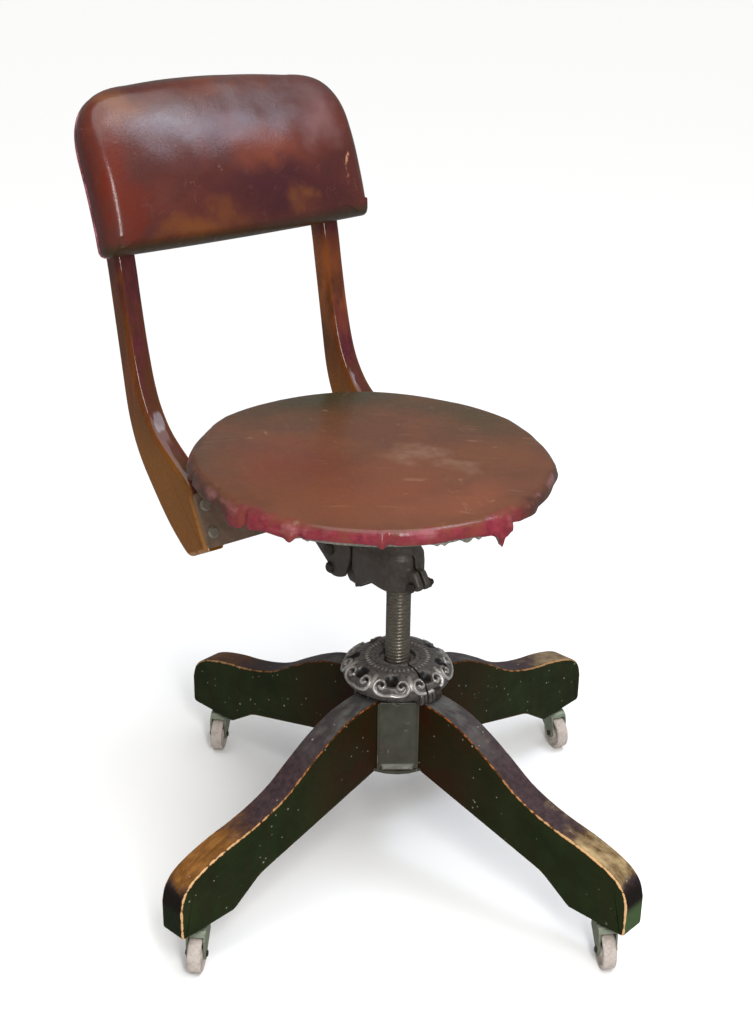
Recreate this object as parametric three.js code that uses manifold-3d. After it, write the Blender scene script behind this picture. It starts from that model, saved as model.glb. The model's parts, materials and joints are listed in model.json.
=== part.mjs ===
// A wooden office chair: four shaped legs on casters, an iron hub with a threaded height
// screw, a thin round padded seat, and a sprung back on two shaped posts.
// Millimetres, +Z up, and the sitter faces -Y. The origin is on the floor, under the middle
// of the chair's bounding box. The parts are modelled round the swivel axis and moved there last.

import * as THREE from "three";
import { mergeVertices } from "three/addons/utils/BufferGeometryUtils.js";
import Module from "manifold-3d";

const wasm = await Module();
wasm.setup();

const degrees = Math.PI / 180;
const fullTurn = 2 * Math.PI;
const half = 0.5;

// Clearances and cutters
const seatGap = 0.3; // between two pieces that touch
const runningGap = 0.3; // between a turning piece and its bore
const overrun = 4; // how far a cutter runs past the piece that it cuts

// The cross of legs
const legCount = 4;
const baseTurn = 10.1 * degrees; // the legs' turn under the seat
const legReach = 330; // swivel axis to the end of a leg
const legThickness = 31;
const legEdge = 2.5; // rounding along a leg's long edges
const padHeight = 50; // floor to the underside of a leg's end
const padLength = 70;
const heelReach = 222; // where the underside turns up from the pad
const heelHeight = 75;
const underHeight = 120; // underside of a leg beside the hub
const endStraight = 36; // the upright stretch of a leg's end
const endRounding = 6;
const legTop = 207; // top of the legs and of the hub

// Hub
const tubeBore = 17.6;
const tubeWall = 4.4;
const plateRadius = 50;
const plateThickness = 4.5;
const plateHeight = 118; // underside of the base plate
const plateEdge = 1;
const panelReach = 40.5; // swivel axis to the back of a web panel
const panelThickness = 4;
const panelRoll = 2.5; // how far the rolled edges stand out
const panelRollWidth = 3;
const lipReach = 4.5; // how far the flared foot of a panel stands out
const lipHeight = 6.5;
const webThickness = 5;
const washerThickness = 2;
const washerRadius = 30;
const bushWall = 2.7;
const bushLength = 28;

// Screws up into the legs
const legScrewReach = 36;
const legScrewRadius = 3;
const legScrewHead = 6;
const legScrewHeadHeight = 3.2;
const legScrewLength = 34;

// Casters
const casterInset = 35; // end of a leg to its caster
const casterTurns = [-115, -145, -142, -130]; // each fork's trail, in degrees from its leg cross
const wheelRadius = 20;
const wheelWidth = 14;
const wheelSides = 18;
const wheelHub = 6;
const wheelDish = 2.2; // how deep the sides are dished
const wheelRim = 3;
const wheelDraft = 1.2; // how far the dish widens towards the side
const axleRadius = 2;
const axleHead = 3.6;
const axleHeadHeight = 1.6;
const casterTrail = 15;
const forkPlate = 2;
const forkSideGap = 0.9;
const forkTopGap = 2.4; // wheel to the underside of the crown
const forkCrown = 11; // half length of the crown
const forkBoss = 6.2;
const forkRounding = 5;
const stemRadius = 4;
const stemLength = 38;
const socketWall = 1.7;
const socketFlange = 9.5;
const socketFlangeHeight = 1.5;
const socketLength = 42;

// Adjusting ring, the nut of the height screw
const screwRadius = 13.5;
const ringRadius = 60;
const ringFoot = 40; // radius of the ring's flat underside
const ringHeight = 30;
const ringShank = 44; // length of the shank inside the hub's tube
const ringFlat = 49; // radius of the flat top
const collarRadius = 23;
const collarHeight = 4.5;
const ringLobes = 10;
const lobeSteps = 4;
const lobeDepth = 3;
const clampAngle = -95 * degrees; // direction of the split
const splitWidth = 2.4;
const lugThickness = 7.8;
const lugInner = 46;
const lugOuter = 64;
const lugHeight = 15;
const lugRounding = 6;
const clampReach = 57; // swivel axis to the clamp screw
const clampRadius = 3.2;
const clampHead = 7;
const clampHeadLength = 9;
const clampHeadRounding = 1.5;
const clampRoom = 0.8; // round the head, in the ring's rim

// Height screw
const screwFoot = 121;
const screwBite = 34; // how far the screw goes up into the head
const screwChamfer = 2;

// Cast head and spider under the seat
const headFoot = 327; // underside of the boss that holds the screw
const headHeight = 116; // that underside to the seat's board
const bossRadius = 20;
const cupRadius = 26.5;
const neckRadius = 20;
const spiderPlate = 6;
const spiderDisc = 42;
const blockDepth = 50; // swivel axis to the rear face of the block
const blockWidth = 54;
const blockUpperWidth = 47;
const blockDrop = 18; // the rear block's foot below the boss
const blockRise = 75; // the boss's underside to the rear block's top
const ledgeRise = 40; // and to the ledge round the boss
const blockEdge = 2;
const bellEdge = 7; // rounding along the foot of the block and the boss, cast as one bell
const bellNose = 27; // radius of the bell's front
const tongueWidth = 39;
const tongueRadius = 14;
const tongueRootReach = 14; // the tongue's deep root behind the block
const pivotReach = 38; // rear block to the back's pivot
const pivotRise = 17; // the boss's underside to the pivot
const pivotRadius = 4.9;
const pivotHead = 8;
const pivotHeadHeight = 4;
const stopWidth = 30;
const stopDepth = 20;
const armCount = 4;
const armReach = 116;
const armRootWidth = 34;
const armTipWidth = 22;
const armRib = 6;
const armRibDrop = 20;
const armScrewReach = 104;
const springPadWidth = 32;
const springPadMargin = 5;
const pinchY = -35;
const pinchRise = 14; // the boss's underside to the pinch bolt
const pinchWidth = 19;
const pinchReach = 45; // swivel axis to the tip of the pinch lugs
const pinchTopShare = 0.85; // of their width, from the pinch bolt up to their top
const pinchFootShare = 0.35; // and down to their foot
const pinchSlit = 2.4;
const pinchRadius = 3.2;
const pinchHead = 5.6;
const pinchHeadHeight = 4.2;

// Seat
const seatHalfWidth = 191.5;
const seatHalfDepth = 199;
const seatSetback = 52.5; // the seat's middle lies behind the swivel axis
const seatSteps = 48;
const boardInset = 7;
const boardThickness = 10;
const boardEdge = 1;
const seatRim = 18; // height of the cover's edge
const seatCrown = 6;
const seatCoverDrop = 1; // the cover's lower edge stands above the board's underside
const seatScrewRadius = 2.2;
const seatScrewHead = 4.6;
const seatScrewHeadHeight = 2.4;
const seatScrewBite = 7;

// Yoke of the back
const yokePlate = 5.5;
const yokeSideGap = 3.8; // tongue to cheek
const yokeFront = 35; // pivot to the cheek's front edge
const webRise = 46; // pivot to the top of the yoke's web
const yokeWebPlate = 4;
const webReach = 22; // pivot to the web's rear end
const flangeWidth = 104;
const flangePlate = 4;
const tieSetback = 1; // the tie bolt lies this far in front of the pivot
const tieDrop = 23; // and this far below it
const tieRadius = 3.8;
const tieHead = 6.4;
const tieHeadHeight = 3.4;
const rivetSpread = 42; // middle of the chair to a yoke rivet
const rivetRadius = 3;
const rivetHead = 5.4;
const rivetHeadHeight = 2.6;

// Recline spring
const springReach = 18; // rear block to the spring's middle
const springRadius = 11;
const springWire = 1.7;
const springTurns = 6;
const springStepsPerTurn = 8;
const springWireSides = 5;

// Strap across the two post feet
const strapThickness = 4;
const strapHeight = 62;
const strapInset = 3; // above the lower end of a foot's face, and in from a post's outer side
const strapCorner = 4;
const footBoltRadius = 3.6;
const footBoltHead = 7;
const footBoltHeadHeight = 2.4;
const footBoltLength = 22;

// Posts of the back
const postInset = 36; // the cushion's side to the middle of a post
const postWidth = 25;
const postEdge = 3;
const footReach = 62; // pivot to the lower end of a foot's flat face
const footRise = 3; // that end above the pivot
const footLean = 29 * degrees;
const footFace = 68;
const footDepth = 48; // face to rear corner, along the foot's square cut end
const heelRounding = 5;
const bendReach = 165; // lower end of the face to the start of the post's even bend
const bendRise = 253; // that start above it
const bendStartLean = 9.5 * degrees;
const bendRadius = 460;
const bendLength = 148; // start of the bend to the post's end
const bendSteps = 8;
const postDepth = 29;
const postSteps = 16;

// Back panel and cushion, measured up the posts' front faces
const cushionStart = 38; // start of the bend to the cushion's lower edge
const cushionWidth = 345;
const cushionHeight = 176;
const cushionTopCorner = 77;
const cushionFootCorner = 12;
const cushionArch = 9; // how far the top edge arches between its corners
const cushionThickness = 32;
const cushionCrown = 12;
const cushionSag = 4; // how far the lower edge bellies in the middle
const topThicknessShare = 0.6; // of the thickness at the foot
const panelHeight = 110;
const panelInset = 5; // the panel's ends inside the cushion's sides
const panelLift = 4; // cushion's lower edge to the panel's
const backPanelThickness = 7;
const panelCorner = 8;
const panelScrewRadius = 2.6;
const panelScrewHead = 5.4;
const panelScrewHeadHeight = 2.6;
const panelScrewBite = 9; // how far a screw goes into the cushion's back
const panelScrewRises = [24, 88]; // above the panel's lower edge

// Facets
const roundSides = 24;
const smallSides = 10;

// Worked out from the sizes above
const tubeRadius = tubeBore + tubeWall;
const casterReach = legReach - casterInset;
const legRoot = tubeRadius + seatGap;
const hubFloor = plateHeight + plateThickness;
const axleHeight = wheelRadius * Math.cos(Math.PI / wheelSides);
const forkTop = padHeight - socketFlangeHeight - 2 * seatGap;
const ringBase = legTop + washerThickness + 2 * seatGap;
const ringBore = screwRadius + runningGap;
const screwTop = headFoot + screwBite;
const spiderTop = headFoot + headHeight;
const seatBase = spiderTop + seatGap;
const blockFoot = headFoot - blockDrop;
const blockLedge = headFoot + ledgeRise;
const blockTop = headFoot + blockRise;
const pivotY = blockDepth + pivotReach;
const pivotZ = headFoot + pivotRise;
const pinchZ = headFoot + pinchRise;
const yokeWebTop = pivotZ + webRise;
const yokeWebRear = pivotY + webReach;
const tieY = pivotY - tieSetback;
const tieZ = pivotZ - tieDrop;
const springY = blockDepth + springReach;
const springPadReach = springY + springRadius + springPadMargin;
const footY = pivotY + footReach;
const footZ = pivotZ + footRise;
const bendStartY = footY + bendReach;
const bendStartZ = footZ + bendRise;
const panelStart = cushionStart + panelLift;
const yokeInner = tongueWidth / 2 + yokeSideGap;
const yokeOuter = yokeInner + yokePlate;
const postSpread = cushionWidth / 2 - postInset;
const postOuter = postSpread + postWidth / 2;

// Finishes
function finish(color, roughness, metalness) {
  return new THREE.MeshStandardMaterial({ color, roughness, metalness });
}
const paintedWood = () => finish(0x2c2a1e, 0.45, 0);
const varnishedWood = () => finish(0x6b4318, 0.35, 0);
const plywood = () => finish(0x8a6238, 0.6, 0);
const castIron = () => finish(0x4a4542, 0.55, 0.8);
const steel = () => finish(0x55504e, 0.45, 0.9);
const zincPlate = () => finish(0xa9b5a5, 0.4, 0.8);
const bronze = () => finish(0x8c6b3c, 0.4, 0.9);
const paleRubber = () => finish(0xc8bdb5, 0.7, 0);
const seatOilcloth = () => finish(0x7a4f38, 0.35, 0);
const backOilcloth = () => finish(0x6b3a2e, 0.3, 0);

// Solids and booleans
function toSolid(geometry) {
  const bare = geometry.clone();
  bare.deleteAttribute("normal");
  bare.deleteAttribute("uv");
  const merged = mergeVertices(bare, 1e-4);
  const vertProperties = merged.attributes.position.array;
  const triVerts = new Uint32Array(merged.index.array);
  return new wasm.Manifold(new wasm.Mesh({ numProp: 3, vertProperties, triVerts }));
}

function toGeometry(solid) {
  const mesh = solid.getMesh();
  const geometry = new THREE.BufferGeometry();
  geometry.setAttribute("position", new THREE.BufferAttribute(mesh.vertProperties, 3));
  geometry.setIndex(new THREE.BufferAttribute(mesh.triVerts, 1));
  geometry.computeVertexNormals();
  return geometry;
}

function join(...geometries) {
  const solids = geometries.map(toSolid);
  return toGeometry(solids.reduce((sum, next) => sum.add(next)));
}

function cut(geometry, ...cutters) {
  const solids = cutters.map(toSolid);
  return toGeometry(solids.reduce((rest, next) => rest.subtract(next), toSolid(geometry)));
}

function keepWithin(geometry, limit) {
  return toGeometry(toSolid(geometry).intersect(toSolid(limit)));
}

// Forms
const point = (x, y) => new THREE.Vector2(x, y);

// A turned piece about Z, from a profile of [radius, height] that closes or ends on the axis.
function turned(profile, sides) {
  const points = profile.map(([radius, height]) => point(radius, height));
  if (THREE.ShapeUtils.area(points) < 0) points.reverse();
  const onAxis = points.some((p) => p.x === 0);
  if (onAxis) {
    while (points[0].x !== 0 || points[points.length - 1].x !== 0) points.push(points.shift());
  } else {
    points.push(points[0].clone());
  }
  return new THREE.LatheGeometry(points, sides).rotateX(Math.PI / 2);
}

function cylinder(radius, from, to, sides = smallSides) {
  const geometry = new THREE.CylinderGeometry(radius, radius, to - from, sides);
  return geometry.rotateX(Math.PI / 2).translate(0, 0, (from + to) / 2);
}

function box(x0, x1, y0, y1, z0, z1) {
  const geometry = new THREE.BoxGeometry(x1 - x0, y1 - y0, z1 - z0);
  return geometry.translate((x0 + x1) / 2, (y0 + y1) / 2, (z0 + z1) / 2);
}

// An outline in the plane of X and Y raised along Z from 0, with its long edges rounded.
function raised(outline, height, edge = 0, rounds = 1) {
  const shape = outline instanceof THREE.Shape ? outline : new THREE.Shape(outline);
  const geometry = new THREE.ExtrudeGeometry(shape, {
    depth: height - 2 * edge,
    bevelEnabled: edge > 0,
    bevelThickness: edge,
    bevelSize: edge,
    bevelOffset: -edge,
    bevelSegments: rounds,
    curveSegments: 5,
  });
  return geometry.translate(0, 0, edge);
}

const axisX = new THREE.Vector3(1, 0, 0);
const axisY = new THREE.Vector3(0, 1, 0);
const axisZ = new THREE.Vector3(0, 0, 1);

// An outline of [y, z] given width along X, middle at X = 0.
function across(outline, width, edge = 0, rounds = 1) {
  const turn = new THREE.Matrix4().makeBasis(axisY, axisZ, axisX);
  return raised(outline, width, edge, rounds).applyMatrix4(turn).translate(-width / 2, 0, 0);
}

// An outline of [x, z] given width along Y, middle at Y = 0.
function along(outline, width, edge = 0, rounds = 1) {
  const turn = new THREE.Matrix4().makeBasis(axisX, axisZ, axisY.clone().negate());
  return raised(outline, width, edge, rounds).applyMatrix4(turn).translate(0, width / 2, 0);
}

// A piece turned about Z, laid along X at a place of [y, z].
function laidAcross(geometry, y, z) {
  return geometry.rotateY(Math.PI / 2).translate(0, y, z);
}

// A closed skin over rings of points, with a middle point at each end.
function lofted(firstMiddle, rings, lastMiddle) {
  const around = rings[0].length;
  const positions = [firstMiddle, ...rings.flat(), lastMiddle].flatMap((p) => [p.x, p.y, p.z]);
  const last = rings.length * around + 1;
  const index = [];
  for (let i = 0; i < around; i += 1) {
    const next = (i + 1) % around;
    index.push(0, 1 + next, 1 + i);
    for (let k = 0; k + 1 < rings.length; k += 1) {
      const low = 1 + k * around;
      const high = low + around;
      index.push(low + i, low + next, high + next);
      index.push(low + i, high + next, high + i);
    }
    index.push(last, last - around + i, last - around + next);
  }
  const geometry = new THREE.BufferGeometry();
  geometry.setAttribute("position", new THREE.Float32BufferAttribute(positions, 3));
  geometry.setIndex(index);
  geometry.computeVertexNormals();
  return geometry;
}

// A pin or screw about Z with a head below Z = 0 and a shank above it.
function headed(shankRadius, length, headRadius, headHeight, sides = smallSides) {
  const profile = [
    [0, -headHeight],
    [headRadius * 0.7, -headHeight],
    [headRadius, -headHeight / 2],
    [headRadius, 0],
    [shankRadius, 0],
    [shankRadius, length - shankRadius / 2],
    [shankRadius / 2, length],
    [0, length],
  ];
  return turned(profile, sides);
}

// A pin about Z with a head at each end of its grip, the grip's middle at Z = 0.
function riveted(shankRadius, grip, headRadius, headHeight, sides = smallSides) {
  const end = grip / 2;
  const profile = [
    [0, -end - headHeight],
    [headRadius * 0.7, -end - headHeight],
    [headRadius, -end - headHeight / 2],
    [headRadius, -end],
    [shankRadius, -end],
    [shankRadius, end],
    [headRadius, end],
    [headRadius, end + headHeight / 2],
    [headRadius * 0.7, end + headHeight],
    [0, end + headHeight],
  ];
  return turned(profile, sides);
}

const chair = new THREE.Group();

function addTo(parent, name, geometry, material) {
  const mesh = new THREE.Mesh(geometry, material);
  mesh.name = name;
  parent.add(mesh);
  return mesh;
}

// Legs: a side profile sawn from a plank, with a rebate for the hub's base plate.
const legTopShares = [
  [0, 1],
  [0.12, 1],
  [0.233, 0.962],
  [0.33, 0.879],
  [0.425, 0.771],
  [0.519, 0.656],
  [0.61, 0.586],
  [0.7, 0.541],
  [0.789, 0.51],
  [0.877, 0.465],
  [0.945, 0.408],
  [0.984, 0.331],
];
const legTopSteps = 26;

function legOutline() {
  const span = legReach - legRoot;
  const rise = legTop - padHeight;
  const top = legTopShares.map(([s, t]) => point(legRoot + s * span, padHeight + t * rise));
  top.push(point(legReach, padHeight + endStraight));
  const rebateReach = plateRadius + seatGap;
  const rebateTop = hubFloor + seatGap;
  const outline = new THREE.Shape();
  outline.moveTo(legRoot, rebateTop);
  outline.lineTo(rebateReach, rebateTop);
  outline.lineTo(rebateReach, underHeight);
  outline.lineTo(heelReach, heelHeight);
  outline.lineTo(legReach - padLength, padHeight);
  outline.lineTo(legReach - endRounding, padHeight);
  outline.quadraticCurveTo(legReach, padHeight, legReach, padHeight + endRounding);
  const curve = new THREE.SplineCurve(top.reverse());
  for (const p of curve.getPoints(legTopSteps)) outline.lineTo(p.x, p.y);
  return outline;
}

function leg() {
  const plank = along(legOutline(), legThickness, legEdge);
  const socketHole = cylinder(
    socketInner() + socketWall + seatGap,
    padHeight - overrun,
    padHeight + socketLength + seatGap,
  );
  socketHole.translate(casterReach, 0, 0);
  const screwHole = cylinder(
    legScrewRadius + seatGap,
    hubFloor - overrun,
    plateHeight + legScrewLength + seatGap,
  );
  screwHole.translate(legScrewReach, 0, 0);
  return cut(plank, socketHole, screwHole);
}

// Hub: a tube for the screw, and a web panel with rolled edges between each two legs.
function cornerGap(reach) {
  return reach - Math.SQRT2 * (legThickness / 2 + seatGap);
}

function hubPanel() {
  const back = panelReach;
  const face = panelReach + panelThickness;
  const roll = face + panelRoll;
  const inner = cornerGap(roll) - panelRollWidth;
  const outline = [
    point(back, -cornerGap(back)),
    point(roll - panelRoll / 2, -cornerGap(roll - panelRoll / 2)),
    point(roll, -cornerGap(roll - panelRoll / 2) + panelRoll / 2),
    point(roll, -inner),
    point(face, -inner + panelRoll),
    point(face, inner - panelRoll),
    point(roll, inner),
    point(roll, cornerGap(roll - panelRoll / 2) - panelRoll / 2),
    point(roll - panelRoll / 2, cornerGap(roll - panelRoll / 2)),
    point(back, cornerGap(back)),
  ];
  const foot = hubFloor + seatGap;
  const panel = raised(outline, legTop - foot).translate(0, 0, foot);
  const lip = along(
    [
      point(back, foot),
      point(face + lipReach, foot),
      point(face + lipReach, foot + lipHeight / 4),
      point(face, foot + lipHeight),
      point(back, foot + lipHeight),
    ],
    2 * cornerGap(back),
  );
  const web = box(
    tubeRadius - tubeWall / 2,
    back + panelThickness / 2,
    -webThickness / 2,
    webThickness / 2,
    foot,
    legTop,
  );
  return join(panel, lip, web);
}

function hubCasting() {
  const foot = hubFloor + seatGap;
  const tube = turned(
    [
      [tubeBore, foot],
      [tubeRadius, foot],
      [tubeRadius, legTop],
      [tubeBore, legTop],
    ],
    roundSides,
  );
  const panels = [];
  for (let k = 0; k < legCount; k += 1) {
    panels.push(hubPanel().rotateZ(((k + half) * fullTurn) / legCount));
  }
  return cut(join(tube, ...panels), cylinder(tubeBore, foot - overrun, legTop + overrun, roundSides));
}

function hubBasePlate() {
  const plate = turned(
    [
      [screwRadius + 2 * runningGap, plateHeight],
      [plateRadius - plateEdge, plateHeight],
      [plateRadius, plateHeight + plateEdge],
      [plateRadius, hubFloor],
      [screwRadius + 2 * runningGap, hubFloor],
    ],
    roundSides,
  );
  const holes = [];
  for (let k = 0; k < legCount; k += 1) {
    const hole = cylinder(legScrewRadius + seatGap, plateHeight - overrun, hubFloor + overrun);
    holes.push(hole.translate(legScrewReach, 0, 0).rotateZ((k * fullTurn) / legCount));
  }
  return cut(plate, ...holes);
}

// Casters: a socket in the leg, and a trailing fork with a riveted axle and a dished wheel.
function socketInner() {
  return stemRadius + runningGap;
}

function casterSocket() {
  const flangeTop = padHeight - seatGap;
  const flangeFoot = flangeTop - socketFlangeHeight;
  const outer = socketInner() + socketWall;
  return turned(
    [
      [socketInner(), flangeFoot],
      [socketFlange, flangeFoot],
      [socketFlange, flangeTop],
      [outer, flangeTop],
      [outer, padHeight + socketLength],
      [socketInner(), padHeight + socketLength],
    ],
    smallSides,
  );
}

function forkOutline() {
  const outline = new THREE.Shape();
  outline.moveTo(-forkCrown, forkTop - forkRounding - forkCrown);
  outline.lineTo(casterTrail - forkBoss, axleHeight);
  outline.absarc(casterTrail, axleHeight, forkBoss, Math.PI, fullTurn, false);
  outline.lineTo(casterTrail + forkBoss, forkTop - forkRounding - forkCrown);
  outline.quadraticCurveTo(casterTrail + forkBoss, forkTop, forkCrown, forkTop);
  outline.lineTo(-forkCrown + forkRounding, forkTop);
  outline.quadraticCurveTo(-forkCrown, forkTop, -forkCrown, forkTop - forkRounding);
  return outline;
}

const forkInner = wheelWidth + 2 * forkSideGap;
const forkOuter = forkInner + 2 * forkPlate;

function casterFork() {
  const blank = along(forkOutline(), forkOuter);
  const wheelRoom = box(
    -forkCrown - overrun,
    casterTrail + forkBoss + overrun,
    -forkInner / 2,
    forkInner / 2,
    -overrun,
    axleHeight + wheelRadius + forkTopGap,
  );
  const stem = cylinder(stemRadius, forkTop - forkPlate, forkTop + stemLength);
  const axleHole = cylinder(axleRadius + runningGap, -forkOuter, forkOuter, 8);
  axleHole.rotateX(Math.PI / 2).translate(casterTrail, 0, axleHeight);
  return cut(join(blank, stem), wheelRoom, axleHole);
}

function casterAxle() {
  const pin = riveted(axleRadius, forkOuter + 2 * seatGap, axleHead, axleHeadHeight, 8);
  return pin.rotateX(Math.PI / 2).translate(casterTrail, 0, axleHeight);
}

function casterWheel() {
  const side = wheelWidth / 2;
  const dish = side - wheelDish;
  const bore = axleRadius + runningGap;
  const profile = [
    [bore, -side],
    [wheelHub, -side],
    [wheelHub + wheelDraft, -dish],
    [wheelRadius - wheelRim - wheelDraft, -dish],
    [wheelRadius - wheelRim, -side],
    [wheelRadius, -side],
    [wheelRadius, side],
    [wheelRadius - wheelRim, side],
    [wheelRadius - wheelRim - wheelDraft, dish],
    [wheelHub + wheelDraft, dish],
    [wheelHub, side],
    [bore, side],
  ];
  const wheel = turned(profile, wheelSides).rotateZ(Math.PI / wheelSides);
  return wheel.rotateX(Math.PI / 2).translate(casterTrail, 0, axleHeight);
}

function addBase() {
  const base = new THREE.Group();
  base.rotation.z = baseTurn;
  chair.add(base);
  addTo(base, "hub_casting", hubCasting(), castIron());
  addTo(base, "hub_base_plate", hubBasePlate(), castIron());
  const foot = hubFloor + seatGap;
  const bush = turned(
    [
      [tubeBore - seatGap, foot],
      [tubeBore - seatGap, foot + bushLength],
      [tubeBore - bushWall, foot + bushLength],
      [tubeBore - bushWall, foot],
    ],
    roundSides,
  );
  addTo(base, "guide_bush", bush, bronze());
  const washer = turned(
    [
      [tubeBore, legTop + seatGap],
      [washerRadius, legTop + seatGap],
      [washerRadius, legTop + seatGap + washerThickness],
      [tubeBore, legTop + seatGap + washerThickness],
    ],
    roundSides,
  );
  addTo(base, "thrust_washer", washer, bronze());
  const legNames = ["right", "rear", "left", "front"];
  legNames.forEach((name, k) => {
    const arm = new THREE.Group();
    arm.rotation.z = (k * fullTurn) / legCount;
    base.add(arm);
    addTo(arm, "leg_" + name, leg(), paintedWood());
    const screw = headed(legScrewRadius, legScrewLength, legScrewHead, legScrewHeadHeight);
    screw.translate(legScrewReach, 0, plateHeight - seatGap);
    addTo(arm, "leg_screw_" + name, screw, steel());
    const caster = new THREE.Group();
    caster.position.x = casterReach;
    arm.add(caster);
    addTo(caster, "caster_socket_" + name, casterSocket(), steel());
    const swivel = new THREE.Group();
    swivel.rotation.z = casterTurns[k] * degrees - arm.rotation.z;
    caster.add(swivel);
    addTo(swivel, "caster_fork_" + name, casterFork(), zincPlate());
    addTo(swivel, "caster_axle_" + name, casterAxle(), steel());
    addTo(swivel, "caster_wheel_" + name, casterWheel(), paleRubber());
  });
}

// Adjusting ring: a nut with a shank in the hub, a bulging rim of scroll lobes, and a split
// that the clamp screw closes.
function ringProfile() {
  const foot = ringBase;
  const top = ringBase + ringHeight - collarHeight;
  const wide = foot + ringHeight / 2;
  const shank = tubeBore - runningGap;
  return [
    [ringBore, foot - ringShank, 0],
    [shank, foot - ringShank, 0],
    [shank, foot, 0],
    [ringFoot, foot, 0],
    [ringFoot + (ringRadius - ringFoot) * 0.4, foot + ringHeight * 0.09, 0],
    [ringFoot + (ringRadius - ringFoot) * 0.84, foot + ringHeight * 0.3, 0.3],
    [ringRadius, wide, 1],
    [ringRadius - lobeDepth / 2, wide + ringHeight * 0.2, 1],
    [ringFlat + (ringRadius - ringFlat) * 0.35, top + ringHeight * 0.02, 0.4],
    [ringFlat, top, 0],
    [collarRadius + collarHeight / 4, top, 0],
    [collarRadius, top + collarHeight / 2, 0],
    [collarRadius - collarHeight / 2, top + collarHeight, 0],
    [ringBore, top + collarHeight, 0],
  ];
}

function lobedRing() {
  const steps = ringLobes * lobeSteps;
  const profile = ringProfile();
  const positions = [];
  const index = [];
  for (let i = 0; i < steps; i += 1) {
    const angle = (i * fullTurn) / steps;
    const pocket = 1 - Math.abs(Math.sin((ringLobes * angle) / 2));
    for (const [radius, z, lobe] of profile) {
      const reach = radius - lobe * lobeDepth * pocket;
      positions.push(reach * Math.cos(angle), reach * Math.sin(angle), z);
    }
    for (let j = 0; j < profile.length; j += 1) {
      const here = i * profile.length;
      const next = ((i + 1) % steps) * profile.length;
      const up = (j + 1) % profile.length;
      index.push(here + j, next + j, next + up);
      index.push(here + j, next + up, here + up);
    }
  }
  const geometry = new THREE.BufferGeometry();
  geometry.setAttribute("position", new THREE.Float32BufferAttribute(positions, 3));
  geometry.setIndex(index);
  return geometry;
}

const clampZ = ringBase + lugHeight / 2 + seatGap;

function adjustingRing() {
  const lugOutline = new THREE.Shape();
  const low = clampZ - lugHeight / 2;
  const high = ringBase + ringHeight / 2;
  lugOutline.moveTo(lugInner, low);
  lugOutline.lineTo(lugOuter - lugRounding, low);
  lugOutline.quadraticCurveTo(lugOuter, low, lugOuter, low + lugRounding);
  lugOutline.quadraticCurveTo(lugOuter, high, lugOuter - lugRounding, high);
  lugOutline.lineTo(lugInner, high);
  const lugs = along(lugOutline, splitWidth + 2 * lugThickness, 1);
  const split = box(
    0,
    lugOuter + overrun,
    -splitWidth / 2,
    splitWidth / 2,
    ringBase - ringShank - overrun,
    ringBase + ringHeight + overrun,
  );
  const hole = cylinder(clampRadius + runningGap, -lugOuter / 2, lugOuter / 2);
  hole.rotateX(Math.PI / 2).translate(clampReach, 0, clampZ);
  const grip = splitWidth / 2 + lugThickness;
  const pocket = cylinder(clampHead + clampRoom, grip, grip + clampHeadLength + 2 * clampRoom);
  pocket.rotateX(-Math.PI / 2).translate(clampReach, 0, clampZ);
  return cut(join(lobedRing(), lugs), split, hole, pocket);
}

function clampScrew() {
  const grip = splitWidth / 2 + lugThickness;
  const profile = [
    [0, -grip + clampRadius / 4],
    [clampRadius, -grip + clampRadius],
    [clampRadius, grip + seatGap],
    [clampHead - clampHeadRounding, grip + seatGap],
    [clampHead, grip + seatGap + clampHeadRounding],
    [clampHead, grip + clampHeadLength - clampHeadRounding],
    [clampHead - clampHeadRounding, grip + clampHeadLength],
    [0, grip + clampHeadLength + clampHeadRounding / 2],
  ];
  return turned(profile, smallSides).rotateX(-Math.PI / 2).translate(clampReach, 0, clampZ);
}

function addRing() {
  const ring = new THREE.Group();
  ring.rotation.z = clampAngle;
  chair.add(ring);
  addTo(ring, "adjusting_ring", adjustingRing(), castIron());
  addTo(ring, "clamp_screw", clampScrew(), steel());
}

// Seat head: a split boss on the screw, a rear block and tongue for the back's yoke, and
// four ribbed arms under the board.
function headBody() {
  const bore = screwRadius + seatGap;
  const roof = screwTop + seatGap;
  const rise = blockLedge - headFoot;
  return turned(
    [
      [0, roof],
      [bore, roof],
      [bore, headFoot],
      [bossRadius - (bossRadius - bore) / 2, headFoot],
      [bossRadius, headFoot + rise * 0.1],
      [bossRadius, headFoot + rise * 0.4],
      [cupRadius, headFoot + rise * 0.58],
      [cupRadius, blockLedge],
      [neckRadius + (cupRadius - neckRadius) / 2, blockLedge + rise * 0.12],
      [neckRadius, blockTop],
      [neckRadius, spiderTop - 2 * spiderPlate],
      [spiderDisc, spiderTop - spiderPlate],
      [spiderDisc, spiderTop],
      [0, spiderTop],
    ],
    roundSides,
  );
}

function rearBlock() {
  const foot = headFoot + overrun;
  const bell = new THREE.Shape();
  bell.moveTo(-blockWidth / 2, blockDepth);
  bell.lineTo(-blockWidth / 2, 0);
  bell.absarc(0, 0, bellNose, Math.PI, fullTurn, false);
  bell.lineTo(blockWidth / 2, blockDepth);
  const lower = raised(bell, blockLedge - headFoot, bellEdge, 2).translate(0, 0, headFoot);
  const keel = across(
    [
      point(0, foot),
      point(bossRadius, foot),
      point(blockDepth, blockFoot),
      point(blockDepth, blockLedge - bellEdge),
      point(0, blockLedge - bellEdge),
    ],
    blockWidth - bellEdge,
    blockEdge,
  );
  const upper = across(
    [
      point(0, foot),
      point(blockDepth, foot),
      point(blockDepth, blockTop - 2 * blockEdge),
      point(blockDepth - 2 * blockEdge, blockTop),
      point(0, blockTop),
    ],
    blockUpperWidth,
    blockEdge,
  );
  return join(lower, keel, upper);
}

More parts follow.
